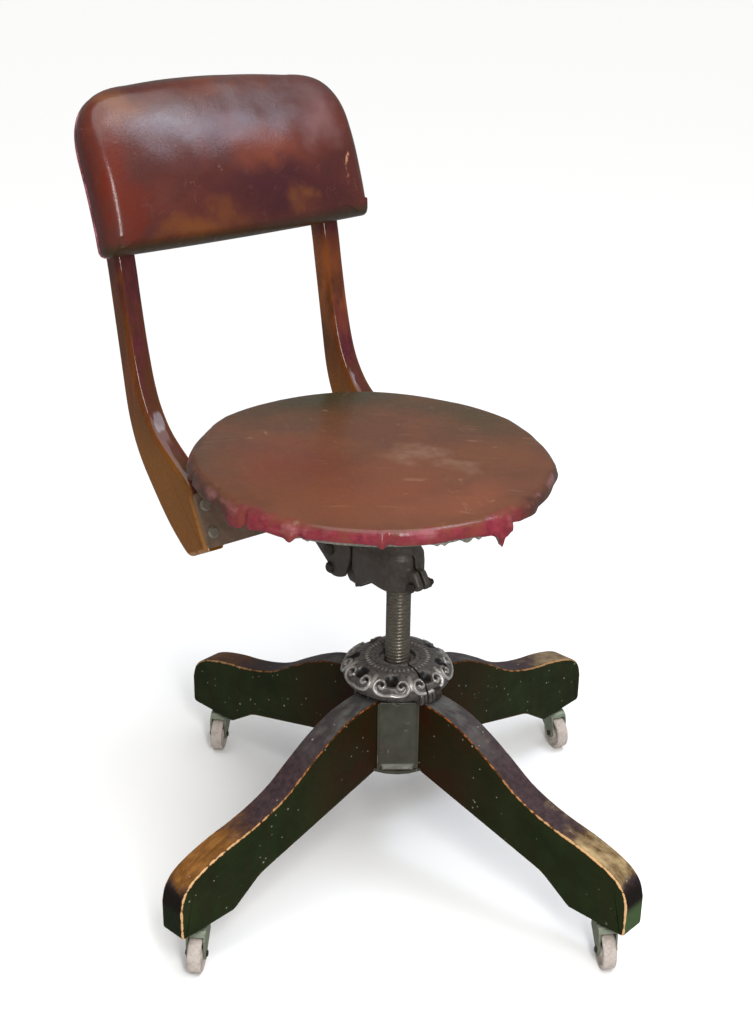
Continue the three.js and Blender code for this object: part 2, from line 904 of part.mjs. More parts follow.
function rearTongue() {
  const outline = new THREE.Shape();
  outline.moveTo(blockDepth - bellEdge, blockFoot + blockEdge);
  outline.lineTo(blockDepth + tongueRootReach, blockFoot + blockEdge);
  outline.lineTo(pivotY - tongueRadius / 2, pivotZ - tongueRadius);
  outline.lineTo(pivotY, pivotZ - tongueRadius);
  outline.absarc(pivotY, pivotZ, tongueRadius, -Math.PI / 2, Math.PI / 2, false);
  outline.lineTo(blockDepth - bellEdge, pivotZ + tongueRadius);
  const tongue = across(outline, tongueWidth);
  const stop = box(
    -stopWidth / 2,
    stopWidth / 2,
    blockDepth - bellEdge,
    blockDepth + stopDepth,
    pivotZ,
    yokeWebTop - yokeWebPlate - seatGap,
  );
  return join(tongue, stop);
}

function spiderArm() {
  const low = spiderTop - spiderPlate;
  const outline = new THREE.Shape();
  outline.moveTo(0, -armRootWidth / 2);
  outline.lineTo(armReach - armTipWidth / 2, -armTipWidth / 2);
  outline.absarc(armReach - armTipWidth / 2, 0, armTipWidth / 2, -Math.PI / 2, Math.PI / 2, false);
  outline.lineTo(0, armRootWidth / 2);
  const plate = raised(outline, spiderPlate).translate(0, 0, low);
  const rib = along(
    [
      point(neckRadius / 2, low - armRibDrop),
      point(neckRadius + armRib, low - armRibDrop),
      point(armScrewReach - armTipWidth, low + spiderPlate / 2),
      point(neckRadius / 2, low + spiderPlate / 2),
    ],
    armRib,
  );
  const hole = cylinder(seatScrewRadius + seatGap, low - overrun, spiderTop + overrun, 8);
  return cut(join(plate, rib), hole.translate(armScrewReach, 0, 0));
}

function pinchLugs() {
  const high = pinchZ + pinchWidth * pinchTopShare;
  const outline = new THREE.Shape();
  outline.moveTo(-screwRadius - seatGap, pinchZ - pinchWidth * pinchFootShare);
  outline.lineTo(pinchY + pinchRadius, pinchZ - pinchWidth * pinchFootShare);
  outline.lineTo(-pinchReach + pinchRadius, pinchZ - pinchRadius);
  outline.quadraticCurveTo(-pinchReach, pinchZ, -pinchReach, pinchZ + pinchRadius);
  outline.lineTo(pinchY, high);
  outline.lineTo(-screwRadius - seatGap, high);
  return across(outline, pinchWidth, 2);
}

function seatSpider() {
  const arms = [];
  for (let k = 0; k < armCount; k += 1) {
    arms.push(spiderArm().rotateZ(((k + half) * fullTurn) / armCount));
  }
  const springPad = box(
    -springPadWidth / 2,
    springPadWidth / 2,
    neckRadius,
    springPadReach,
    spiderTop - spiderPlate,
    spiderTop,
  );
  const whole = join(headBody(), rearBlock(), rearTongue(), springPad, pinchLugs(), ...arms);
  const bore = cylinder(
    screwRadius + seatGap,
    headFoot - overrun,
    screwTop + seatGap,
    roundSides,
  );
  const slit = box(
    -pinchSlit / 2,
    pinchSlit / 2,
    -pinchReach - overrun,
    0,
    headFoot - overrun,
    blockLedge + overrun,
  );
  const pinchHole = laidAcross(cylinder(pinchRadius + seatGap, -pinchWidth, pinchWidth), pinchY, pinchZ);
  const pivotHole = laidAcross(
    cylinder(pivotRadius + runningGap, -tongueWidth, tongueWidth),
    pivotY,
    pivotZ,
  );
  return cut(whole, bore, slit, pinchHole, pivotHole);
}

function pinchBolt() {
  const grip = pinchWidth + 2 * seatGap;
  const bolt = new THREE.CylinderGeometry(pinchHead, pinchHead, pinchHeadHeight, 6);
  bolt.rotateX(Math.PI / 2).translate(0, 0, -grip / 2 - pinchHeadHeight / 2);
  const shank = cylinder(
    pinchRadius,
    -grip / 2 - pinchHeadHeight / 2,
    grip / 2 + pinchHeadHeight + pinchRadius,
  );
  return laidAcross(join(bolt, shank), pinchY, pinchZ);
}

function pinchNut() {
  const grip = pinchWidth + 2 * seatGap;
  const nut = cylinder(pinchHead, grip / 2, grip / 2 + pinchHeadHeight, 6);
  const hole = cylinder(pinchRadius + seatGap, 0, grip + overrun);
  return laidAcross(cut(nut, hole), pinchY, pinchZ);
}

// Seat: a board a little deeper than it is wide, and a thin crowned pad whose cover hides the board's edge.
function seatRing(inset, share, z) {
  const ring = [];
  for (let i = 0; i < seatSteps; i += 1) {
    const angle = (i * fullTurn) / seatSteps;
    const x = (seatHalfWidth - inset) * share * Math.cos(angle);
    const y = (seatHalfDepth - inset) * share * Math.sin(angle);
    ring.push(new THREE.Vector3(x, y + seatSetback, z));
  }
  return ring;
}

function armScrewPlaces() {
  const places = [];
  for (let k = 0; k < armCount; k += 1) {
    const angle = ((k + half) * fullTurn) / armCount;
    places.push([armScrewReach * Math.cos(angle), armScrewReach * Math.sin(angle)]);
  }
  return places;
}

function seatBoard() {
  const top = seatBase + boardThickness;
  const middle = (z) => new THREE.Vector3(0, seatSetback, z);
  const board = lofted(
    middle(seatBase),
    [
      seatRing(boardInset + boardEdge, 1, seatBase),
      seatRing(boardInset, 1, seatBase + boardEdge),
      seatRing(boardInset, 1, top),
    ],
    middle(top),
  );
  const holes = armScrewPlaces().map(([x, y]) =>
    cylinder(
      seatScrewRadius + seatGap,
      seatBase - overrun,
      seatBase + seatScrewBite + seatGap,
      8,
    ).translate(x, y, 0),
  );
  return cut(board, ...holes);
}

// Rings of the pad as [share of the radius, share of the rim, share of the crown].
const seatPadShares = [
  [0.985, 0, 0],
  [0.998, 0.2, 0],
  [1, 0.55, 0],
  [0.988, 0.86, 0],
  [0.965, 1, 0],
  [0.92, 1, 0.3],
  [0.8, 1, 0.62],
  [0.6, 1, 0.84],
  [0.33, 1, 0.96],
];

function seatCushion() {
  const foot = seatBase + seatCoverDrop;
  const boardTop = seatBase + boardThickness + seatGap;
  const rings = seatPadShares.map(([s, rise, crown]) =>
    seatRing(0, s, foot + seatRim * rise + seatCrown * crown),
  );
  const inset = boardInset - seatGap;
  rings.unshift(seatRing(inset, 1, boardTop), seatRing(inset, 1, foot));
  const under = new THREE.Vector3(0, seatSetback, boardTop);
  const crest = new THREE.Vector3(0, seatSetback, foot + seatRim + seatCrown);
  return lofted(under, rings, crest);
}

function addSeat() {
  const seat = new THREE.Group();
  chair.add(seat);
  const spindle = turned(
    [
      [0, screwFoot],
      [screwRadius - screwChamfer, screwFoot],
      [screwRadius, screwFoot + screwChamfer],
      [screwRadius, screwTop - screwChamfer],
      [screwRadius - screwChamfer, screwTop],
      [0, screwTop],
    ],
    roundSides,
  );
  addTo(seat, "spindle", spindle, steel());
  addTo(seat, "seat_spider", seatSpider(), castIron());
  addTo(seat, "pinch_bolt", pinchBolt(), steel());
  addTo(seat, "pinch_nut", pinchNut(), steel());
  addTo(seat, "seat_board", seatBoard(), plywood());
  addTo(seat, "seat_cushion", seatCushion(), seatOilcloth());
  armScrewPlaces().forEach(([x, y], k) => {
    const screw = headed(
      seatScrewRadius,
      spiderPlate + seatScrewBite,
      seatScrewHead,
      seatScrewHeadHeight,
      8,
    );
    screw.translate(x, y, spiderTop - spiderPlate - seatGap);
    addTo(seat, "seat_screw_" + (k + 1), screw, steel());
  });
}

// Back yoke: two cheeks on the tongue's pivot, a web that the spring presses on, and a
// flange on the strap. A place on the strap's slope is given along it and off it.
function onSlope(up, off) {
  const y = footY + up * Math.sin(footLean) - off * Math.cos(footLean);
  const z = footZ + up * Math.cos(footLean) + off * Math.sin(footLean);
  return point(y, z);
}

// Lays a piece modelled with X across, Y up the slope and Z off it onto the strap's slope.
function laidOnSlope(geometry, up, off) {
  const place = onSlope(up, off);
  geometry.rotateX(Math.PI / 2 - footLean);
  return geometry.translate(0, place.x, place.y);
}

const strapFace = seatGap + strapThickness;
const flangeFoot = strapFace + seatGap;
const strapMiddle = strapInset + strapHeight / 2;

function yokeCheeks() {
  const outline = new THREE.Shape();
  const front = pivotY - yokeFront;
  const rearFoot = onSlope(strapInset + strapHeight * 0.12, flangeFoot + flangePlate / 2);
  const rearTop = onSlope(strapInset + strapHeight * 0.88, flangeFoot + flangePlate / 2);
  outline.moveTo(front, yokeWebTop);
  outline.lineTo(front, pivotZ);
  outline.lineTo(front + yokeFront * 0.28, pivotZ - yokeFront * 0.72);
  outline.quadraticCurveTo(tieY - tieHead, tieZ - 2 * tieHead, tieY + tieHead, tieZ - tieHead);
  outline.lineTo(tieY + tieHead, tieZ + tieRadius);
  outline.lineTo(rearFoot.x, rearFoot.y);
  outline.lineTo(rearTop.x, rearTop.y);
  outline.lineTo(yokeWebRear, yokeWebTop);
  const whole = across(outline, 2 * yokeOuter, 1);
  const room = box(
    -yokeInner,
    yokeInner,
    front - overrun,
    rearTop.x + overrun,
    tieZ - 4 * tieHead,
    yokeWebTop - yokeWebPlate,
  );
  const rear = box(
    -yokeInner,
    yokeInner,
    yokeWebRear,
    rearTop.x + overrun,
    pivotZ,
    rearTop.y + overrun,
  );
  return cut(whole, room, rear);
}

function roundedPlate(width, height, corner) {
  const x = width / 2;
  const y = height / 2;
  const outline = new THREE.Shape();
  outline.moveTo(-x + corner, -y);
  outline.lineTo(x - corner, -y);
  outline.absarc(x - corner, -y + corner, corner, -Math.PI / 2, 0, false);
  outline.lineTo(x, y - corner);
  outline.absarc(x - corner, y - corner, corner, 0, Math.PI / 2, false);
  outline.lineTo(-x + corner, y);
  outline.absarc(-x + corner, y - corner, corner, Math.PI / 2, Math.PI, false);
  outline.lineTo(-x, -y + corner);
  outline.absarc(-x + corner, -y + corner, corner, Math.PI, 1.5 * Math.PI, false);
  return outline;
}

function backYoke() {
  const flange = raised(roundedPlate(flangeWidth, strapHeight * 0.8, strapCorner), flangePlate);
  const whole = join(yokeCheeks(), laidOnSlope(flange, strapMiddle, flangeFoot));
  const pivotHole = cylinder(pivotRadius + seatGap, -2 * yokeOuter, 2 * yokeOuter);
  const tieHole = cylinder(tieRadius + seatGap, -2 * yokeOuter, 2 * yokeOuter);
  const rivetHoles = [-rivetSpread, rivetSpread].map((x) => {
    const hole = cylinder(rivetRadius + seatGap, -flangePlate, 2 * flangePlate).translate(x, 0, 0);
    return laidOnSlope(hole, strapMiddle, flangeFoot);
  });
  return cut(
    whole,
    laidAcross(pivotHole, pivotY, pivotZ),
    laidAcross(tieHole, tieY, tieZ),
    ...rivetHoles,
  );
}

// A coil from the web up to the spider's pad, with its least gap to itself measured.
function reclineSpring() {
  const foot = yokeWebTop + seatGap + springWire;
  const head = spiderTop - spiderPlate - seatGap - springWire;
  const steps = springTurns * springStepsPerTurn;
  const centres = [];
  for (let i = 0; i <= steps; i += 1) {
    const angle = (i * fullTurn) / springStepsPerTurn;
    const z = foot + ((head - foot) * i) / steps;
    centres.push(new THREE.Vector3(springRadius * Math.cos(angle), springRadius * Math.sin(angle), z));
  }
  let leastGap = Infinity;
  centres.forEach((a, i) => {
    for (let j = i + springStepsPerTurn - 1; j < centres.length; j += 1) {
      leastGap = Math.min(leastGap, a.distanceTo(centres[j]) - 2 * springWire);
    }
  });
  console.log("recline_spring: least gap between turns " + leastGap.toFixed(2) + " mm");
  const rings = centres.map((centre, i) => {
    const angle = (i * fullTurn) / springStepsPerTurn;
    const outward = new THREE.Vector3(Math.cos(angle), Math.sin(angle), 0);
    const ring = [];
    for (let k = 0; k < springWireSides; k += 1) {
      const turn = (-k * fullTurn) / springWireSides;
      const spot = centre.clone();
      spot.addScaledVector(outward, springWire * Math.cos(turn));
      spot.addScaledVector(axisZ, springWire * Math.sin(turn));
      ring.push(spot);
    }
    return ring;
  });
  const spring = lofted(centres[0], rings, centres[centres.length - 1]);
  return spring.translate(0, springY, 0);
}

// Strap: a steel bar on the two foot faces, with two bolts into each foot.
function footBoltPlaces() {
  const places = [];
  for (const side of [-1, 1]) {
    for (const share of [0.26, 0.76]) {
      places.push([side * postSpread, strapInset + strapHeight * share]);
    }
  }
  return places;
}

function backCrossbar() {
  const width = 2 * (postOuter - strapInset);
  const bar = raised(roundedPlate(width, strapHeight, strapCorner), strapThickness);
  laidOnSlope(bar, strapMiddle, seatGap);
  const holes = footBoltPlaces().map(([x, up]) => {
    const hole = cylinder(footBoltRadius + seatGap, -overrun, strapThickness + overrun);
    return laidOnSlope(hole.translate(x, 0, 0), up, seatGap);
  });
  for (const x of [-rivetSpread, rivetSpread]) {
    const hole = cylinder(rivetRadius + seatGap, -overrun, strapThickness + overrun);
    holes.push(laidOnSlope(hole.translate(x, 0, 0), strapMiddle, seatGap));
  }
  return cut(bar, ...holes);
}

// Posts: a foot with a flat face for the strap, a sweep back and up behind the seat, and an
// upper stretch that bends back evenly and carries the panel.
function leanAt(up) {
  return bendStartLean + up / bendRadius;
}

// A place at a length up the posts' front from the start of the bend, and behind that front.
function onBend(up, behind) {
  const lean = leanAt(up);
  const y = bendStartY + bendRadius * (Math.cos(bendStartLean) - Math.cos(lean));
  const z = bendStartZ + bendRadius * (Math.sin(lean) - Math.sin(bendStartLean));
  return point(y + behind * Math.cos(lean), z - behind * Math.sin(lean));
}

// Each sweep as shares of the way from the foot to the start of the bend, in Y and in Z.
const frontSweepShares = [
  [0.083, 0.054],
  [0.25, 0.111],
  [0.432, 0.173],
  [0.583, 0.24],
  [0.72, 0.349],
  [0.814, 0.483],
  [0.902, 0.69],
  [0.966, 0.886],
];
const rearSweepShares = [
  [0.198, 0.067],
  [0.343, 0.13],
  [0.515, 0.222],
  [0.627, 0.288],
  [0.72, 0.36],
  [0.79, 0.44],
  [0.84, 0.53],
  [0.885, 0.66],
  [0.935, 0.81],
];

function sweep(from, shares, to) {
  const middle = shares.map(([s, t]) => point(from.x + s * (to.x - from.x), from.y + t * (to.y - from.y)));
  return new THREE.SplineCurve([from, ...middle, to]).getPoints(postSteps);
}

function postOutline() {
  const heel = onSlope(0, -footDepth);
  const shoulder = onSlope(footFace, 0);
  const outline = new THREE.Shape();
  const toe = onSlope(0, 0);
  outline.moveTo(toe.x, toe.y);
  const nearHeel = onSlope(0, -footDepth + heelRounding);
  outline.lineTo(nearHeel.x, nearHeel.y);
  const rearSweep = sweep(heel, rearSweepShares, onBend(0, postDepth));
  outline.quadraticCurveTo(heel.x, heel.y, rearSweep[1].x, rearSweep[1].y);
  for (const p of rearSweep.slice(2)) outline.lineTo(p.x, p.y);
  const crown = postDepth / 2;
  const straight = bendLength - crown;
  const rises = [];
  for (let k = 1; k <= bendSteps; k += 1) rises.push((straight * k) / bendSteps);
  for (const up of rises) outline.lineTo(onBend(up, postDepth).x, onBend(up, postDepth).y);
  const tipRear = onBend(bendLength + crown / 4, postDepth);
  const tipFront = onBend(bendLength + crown / 4, 0);
  const frontEnd = onBend(straight, 0);
  outline.bezierCurveTo(tipRear.x, tipRear.y, tipFront.x, tipFront.y, frontEnd.x, frontEnd.y);
  for (const up of rises.reverse().slice(1)) outline.lineTo(onBend(up, 0).x, onBend(up, 0).y);
  const frontSweep = sweep(shoulder, frontSweepShares, onBend(0, 0));
  for (const p of frontSweep.reverse()) outline.lineTo(p.x, p.y);
  return outline;
}

function panelScrewPlaces() {
  const places = [];
  for (const side of [-1, 1]) {
    for (const rise of panelScrewRises) places.push([side * postSpread, rise]);
  }
  return places;
}

// Lays a piece modelled with X across, Y behind the posts' front and Z up it onto the posts.
function laidOnPosts(geometry, rise) {
  const up = panelStart + rise;
  const place = onBend(up, 0);
  return geometry.rotateX(-leanAt(up)).translate(0, place.x, place.y);
}

function screwAcross(geometry) {
  return geometry.rotateX(Math.PI / 2);
}

function backPost(side) {
  const post = across(postOutline(), postWidth, postEdge).translate(side * postSpread, 0, 0);
  const holes = footBoltPlaces()
    .filter(([x]) => x * side > 0)
    .map(([x, up]) => {
      const hole = cylinder(footBoltRadius + seatGap, -footBoltLength - seatGap, overrun);
      return laidOnSlope(hole.translate(x, 0, 0), up, 0);
    });
  for (const rise of panelScrewRises) {
    const hole = screwAcross(cylinder(panelScrewRadius + seatGap, -2 * postDepth, overrun));
    holes.push(laidOnPosts(hole.translate(side * postSpread, 0, 0), rise));
  }
  return cut(post, ...holes);
}

function panelScrewHole(x, rise, depth) {
  const hole = screwAcross(cylinder(panelScrewRadius + seatGap, -overrun, depth));
  return laidOnPosts(hole.translate(x, 0, 0), rise);
}

// A board that follows the bend, between two steps of the panel's height.
function bentBoard(fromStep, toStep, rearBehind, frontBehind, width) {
  const rear = [];
  const front = [];
  for (let k = fromStep; k <= toStep; k += 1) {
    const up = panelStart + (panelHeight * k) / bendSteps;
    rear.unshift(onBend(up, rearBehind));
    front.push(onBend(up, frontBehind));
  }
  return across([...front, ...rear], width);
}

function backPanel() {
  const width = cushionWidth - 2 * panelInset;
  const bent = bentBoard(0, bendSteps, -seatGap, -seatGap - backPanelThickness, width);
  const foot = onBend(panelStart, -seatGap);
  const height = onBend(panelStart + panelHeight, -seatGap).y - foot.y;
  const outline = roundedPlate(width, height, panelCorner);
  const limit = along(outline, 2 * bendLength).translate(0, foot.x, foot.y + height / 2);
  const depth = backPanelThickness + seatGap + overrun;
  const holes = panelScrewPlaces().map(([x, rise]) => panelScrewHole(x, rise, depth));
  return cut(keepWithin(bent, limit), ...holes);
}

// Rings of the back cushion as [share of the outline, share of the thickness, share of the crown].
const backPadShares = [
  [0.95, 0, 0],
  [0.98, 0.08, 0],
  [0.998, 0.3, 0],
  [1, 0.6, 0],
  [0.99, 0.87, 0],
  [0.965, 1, 0.06],
  [0.9, 1, 0.4],
  [0.78, 1, 0.66],
  [0.58, 1, 0.86],
  [0.32, 1, 0.97],
];

function cushionOutline() {
  const x = cushionWidth / 2;
  const top = cushionHeight - cushionArch;
  const outline = new THREE.Shape();
  outline.moveTo(-x + cushionFootCorner, 0);
  outline.lineTo(0, 0);
  outline.lineTo(x - cushionFootCorner, 0);
  outline.quadraticCurveTo(x, 0, x, cushionFootCorner);
  outline.lineTo(x, top - cushionTopCorner);
  outline.bezierCurveTo(x, top - cushionTopCorner / 3, x - cushionTopCorner / 3, top, x - cushionTopCorner, top);
  outline.quadraticCurveTo(0, cushionHeight + cushionArch, -x + cushionTopCorner, top);
  outline.bezierCurveTo(-x + cushionTopCorner / 3, top, -x, top - cushionTopCorner / 3, -x, top - cushionTopCorner);
  outline.lineTo(-x, cushionFootCorner);
  outline.quadraticCurveTo(-x, 0, -x + cushionFootCorner, 0);
  return outline.getSpacedPoints(56).slice(1);
}

function backCushion() {
  const middle = cushionHeight / 2;
  const rear = -seatGap - backPanelThickness - seatGap;
  const outline = cushionOutline();
  const padPoint = (x, rise, depth, crown) => {
    const riseShare = rise / cushionHeight;
    const thickness = cushionThickness * (1 - (1 - topThicknessShare) * riseShare ** 3);
    const belly = cushionSag * depth * (1 - riseShare) ** 3 * (1 - ((2 * x) / cushionWidth) ** 2);
    const behind = rear - thickness * depth - cushionCrown * crown;
    const place = onBend(cushionStart + rise - belly, behind);
    return new THREE.Vector3(x, place.x, place.y);
  };
  const rings = backPadShares.map(([s, depth, crown]) =>
    outline.map((p) => padPoint(p.x * s, middle + (p.y - middle) * s, depth, crown)),
  );
  const pad = lofted(padPoint(0, middle, 0, 0), rings, padPoint(0, middle, 1, 1));
  const depth = panelScrewBite - rear + seatGap;
  const holes = panelScrewPlaces().map(([x, rise]) => panelScrewHole(x, rise, depth));
  const board = bentBoard(-1, 2 * bendSteps, overrun + seatGap, rear, cushionWidth + 2 * overrun);
  return cut(pad, board, ...holes);
}

function addBack() {
  const back = new THREE.Group();
  chair.add(back);
  addTo(back, "back_yoke", backYoke(), castIron());
  const yokeGrip = 2 * (yokeOuter + seatGap);
  const pivot = riveted(pivotRadius, yokeGrip, pivotHead, pivotHeadHeight);
  addTo(back, "pivot_bolt", laidAcross(pivot, pivotY, pivotZ), steel());
  const tie = riveted(tieRadius, yokeGrip, tieHead, tieHeadHeight);
  addTo(back, "tie_bolt", laidAcross(tie, tieY, tieZ), steel());
  addTo(back, "recline_spring", reclineSpring(), steel());
  addTo(back, "back_crossbar", backCrossbar(), steel());
  for (const [name, x] of [["left", -rivetSpread], ["right", rivetSpread]]) {
    const grip = flangeFoot + flangePlate;
    const rivet = riveted(rivetRadius, grip + seatGap, rivetHead, rivetHeadHeight);
    laidOnSlope(rivet.translate(x, 0, 0), strapMiddle, (grip + seatGap) / 2);
    addTo(back, "yoke_rivet_" + name, rivet, steel());
  }
  footBoltPlaces().forEach(([x, up], k) => {
    const bolt = headed(
      footBoltRadius,
      strapFace + footBoltLength,
      footBoltHead,
      footBoltHeadHeight,
    );
    bolt.rotateX(Math.PI).translate(x, 0, 0);
    addTo(back, "foot_bolt_" + (k + 1), laidOnSlope(bolt, up, strapFace + seatGap), steel());
  });
  addTo(back, "back_post_left", backPost(-1), varnishedWood());
  addTo(back, "back_post_right", backPost(1), varnishedWood());
  addTo(back, "back_panel", backPanel(), plywood());
  addTo(back, "back_cushion", backCushion(), backOilcloth());
  panelScrewPlaces().forEach(([x, rise], k) => {
    const length = postDepth + 2 * seatGap + backPanelThickness + panelScrewBite;
    const screw = headed(panelScrewRadius, length, panelScrewHead, panelScrewHeadHeight, 8);
    screwAcross(screw).translate(x, postDepth + seatGap, 0);
    addTo(back, "panel_screw_" + (k + 1), laidOnPosts(screw, rise), steel());
  });
}

addBase();
addRing();
addSeat();
addBack();

const extent = new THREE.Box3().setFromObject(chair);
const middle = extent.getCenter(new THREE.Vector3());
chair.position.set(-middle.x, -middle.y, -extent.min.z);

const group = new THREE.Group();
group.add(chair);

export default group;
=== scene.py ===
# %% [markdown]
# # A wooden swivel chair, dressed for the camera
#
# The chair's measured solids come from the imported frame. Each cell below either dresses one of
# them with a finish or puts a fuller piece in its place. Lengths are in millimetres in the
# makers' functions and become metres when a mesh is made, because a joiner thinks in
# millimetres and Blender in metres.

# %% Load the frame
import json
import math
from types import SimpleNamespace

import bmesh
import bpy
from mathutils import Matrix, Vector, noise


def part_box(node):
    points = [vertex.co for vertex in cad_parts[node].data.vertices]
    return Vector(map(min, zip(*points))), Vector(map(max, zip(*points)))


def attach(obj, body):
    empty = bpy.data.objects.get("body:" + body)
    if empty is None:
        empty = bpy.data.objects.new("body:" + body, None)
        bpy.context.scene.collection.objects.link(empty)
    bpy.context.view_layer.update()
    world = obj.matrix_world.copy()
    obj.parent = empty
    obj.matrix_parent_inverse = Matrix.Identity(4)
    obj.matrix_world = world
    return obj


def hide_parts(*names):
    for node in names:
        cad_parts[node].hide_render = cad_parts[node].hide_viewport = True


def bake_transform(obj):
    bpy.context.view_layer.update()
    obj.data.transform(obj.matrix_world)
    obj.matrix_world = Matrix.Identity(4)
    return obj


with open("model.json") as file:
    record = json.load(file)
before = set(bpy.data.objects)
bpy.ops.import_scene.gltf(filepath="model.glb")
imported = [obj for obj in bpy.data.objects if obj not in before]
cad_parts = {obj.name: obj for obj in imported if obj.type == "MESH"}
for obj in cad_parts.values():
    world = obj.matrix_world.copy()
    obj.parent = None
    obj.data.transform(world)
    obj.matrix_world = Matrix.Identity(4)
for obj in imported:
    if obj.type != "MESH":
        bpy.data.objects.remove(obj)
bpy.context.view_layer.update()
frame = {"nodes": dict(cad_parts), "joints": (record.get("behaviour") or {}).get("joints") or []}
joints = {joint["name"]: joint for joint in frame["joints"]}
MM = 0.001
swivel = Vector(joints["seat_swivel"]["pos_m"]) / MM
pivot = Vector(joints["back_recline"]["pos_m"]) / MM
print("swivel axis", tuple(swivel), "back pivot", tuple(pivot))

# %% [markdown]
# ## The camera
#
# The photograph was taken from the chair's front left, a little above the seat. The camera's
# place and turn were worked out from the wheels and the legs, so they are given as a distance,
# a height and three small angles.

# %% Camera
VIEW_TURN = math.radians(38)
camera_distance = 1555.04
camera_height = 1119.56
camera_yaw = -0.0163233
camera_pitch = 0.4268093
camera_roll = 0.0159361
forward = Vector((
    math.sin(camera_yaw) * math.cos(camera_pitch),
    math.cos(camera_yaw) * math.cos(camera_pitch),
    -math.sin(camera_pitch),
))
level = Vector((math.cos(camera_yaw), -math.sin(camera_yaw), 0))
upright = level.cross(forward)
right = level * math.cos(camera_roll) + upright * math.sin(camera_roll)
up = upright * math.cos(camera_roll) - level * math.sin(camera_roll)
turn = Matrix.Rotation(-VIEW_TURN, 3, "Z")
facing = turn @ Matrix((right, up, -forward)).transposed()
stand = turn @ Vector((0, -camera_distance, camera_height)) + Vector((0, swivel.y, 0))
camera_data = bpy.data.cameras.new("camera")
camera_data.sensor_width = 36
camera_data.lens = 57.07
camera = bpy.data.objects.new("camera", camera_data)
camera.matrix_world = Matrix.Translation(stand * MM) @ facing.to_4x4()
bpy.context.scene.collection.objects.link(camera)
bpy.context.scene.camera = camera
bpy.context.scene.view_settings.view_transform = "Standard"
print("camera stands at", tuple(round(c) for c in stand))

# %% [markdown]
# ## Small helpers
#
# A finish is a tree of nodes. One function adds a node, fills its inputs in their order (or by
# name, from a dict), and hands back one output, so a pattern reads as a few short lines. The
# words above it are the settings that come back most: Math nodes that multiply, add, subtract
# or keep the larger value, and a Map Range that eases from 0 to 1 between two limits. A colour
# is written as the hex code that a paint card or an image editor would give, and turned to the
# linear values that light is computed with.

# %% Colour and node helpers
TIMES, PLUS = {"operation": "MULTIPLY"}, {"operation": "ADD"}
LESS, MOST = {"operation": "SUBTRACT"}, {"operation": "MAXIMUM"}
EASED = {"interpolation_type": "SMOOTHSTEP"}


def linear(code):
    channels = [int(code[i:i + 2], 16) / 255 for i in (1, 3, 5)]
    return [c / 12.92 if c <= 0.04045 else ((c + 0.055) / 1.055) ** 2.4 for c in channels] + [1]


def node(tree, kind, *inputs, out=0, **settings):
    """Add a node and return one of its outputs; inputs come in their order, or by name in a dict."""
    made = tree.nodes.new("ShaderNode" + kind)
    for name, value in settings.items():
        setattr(made, name, value)
    places = {}
    for place, value in enumerate(inputs):
        places.update(value if isinstance(value, dict) else {place: value})
    for place, value in places.items():
        socket = made.inputs[place]
        if isinstance(value, bpy.types.NodeSocket):
            tree.links.new(value, socket)
        else:
            socket.default_value = linear(value) if isinstance(value, str) else value
    return made.outputs[out]


print("a mid grey card, #808080, in linear light:", round(linear("#808080")[0], 3))

# %% [markdown]
# Every finish starts and ends the same way: a shader with the numbers that are the same all
# over its surface, and at the end a colour, a relief and often a roughness that vary over it.
# The relief goes through a Bump node, whose depth is a real one in millimetres.

# %% Start and end of a finish


def new_finish(name, **shader):
    material = bpy.data.materials.new(name)
    material.use_nodes = True
    inputs = material.node_tree.nodes["Principled BSDF"].inputs
    for key, value in shader.items():
        socket = inputs[key.replace("_", " ")]
        socket.default_value = linear(value) if isinstance(value, str) else value
    print("finish", name)
    return material, material.node_tree


def surfaced(material, colour, height, depth, roughness=None):
    """Give the shader its colour, a relief of some depth in mm and, where it varies, a roughness."""
    tree = material.node_tree
    inputs = tree.nodes["Principled BSDF"].inputs
    tree.links.new(colour, inputs["Base Color"])
    bump = node(tree, "Bump", {"Height": height, "Distance": depth * MM, "Strength": 1.0})
    tree.links.new(bump, inputs["Normal"])
    if roughness:
        tree.links.new(roughness, inputs["Roughness"])
    return material


# %% [markdown]
# Colour is laid on as a painter does, in coats. Each coat is a colour and one or more masks,
# and a number thins it. The masks are mostly clouds: noise of a real size in millimetres, cut
# to go from 0 to 1. `1 / (size * MM)` is that size as a texture's scale in metres.

# %% Coats and clouds


def coats(tree, ground, *layers):
    """Lay colours over a ground: a layer is a colour, a mask, and further masks or shares of it."""
    for colour, mask, *shares in layers:
        for share in shares:
            mask = node(tree, "Math", mask, share, **TIMES)
        ground = node(tree, "Mix", {0: mask, 6: ground, 7: colour}, out=2, data_type="RGBA")
    return ground


def cloud(tree, where, size, low=0.4, high=0.6, stretch=(1, 1, 1), detail=3, seed=0.0):
    placed = node(tree, "Mapping", {"Vector": where, "Scale": stretch, "Location": (seed, seed, seed)})
    field = node(tree, "TexNoise", {"Vector": placed, "Scale": 1 / (size * MM), "Detail": detail, "Roughness": 0.6})
    return node(tree, "MapRange", field, low, high)


print("a cloud of 45 mm has a scale of", round(1 / (45 * MM), 1), "per metre")


# %% [markdown]
# Old paint and cloth also carry small dots of dust and other paint. A Voronoi texture gives an
# even scatter of cells, and only a share of the cells, picked by their random colour, gets a
# dot, so the scatter doesn't look like a grid.

# %% Specks


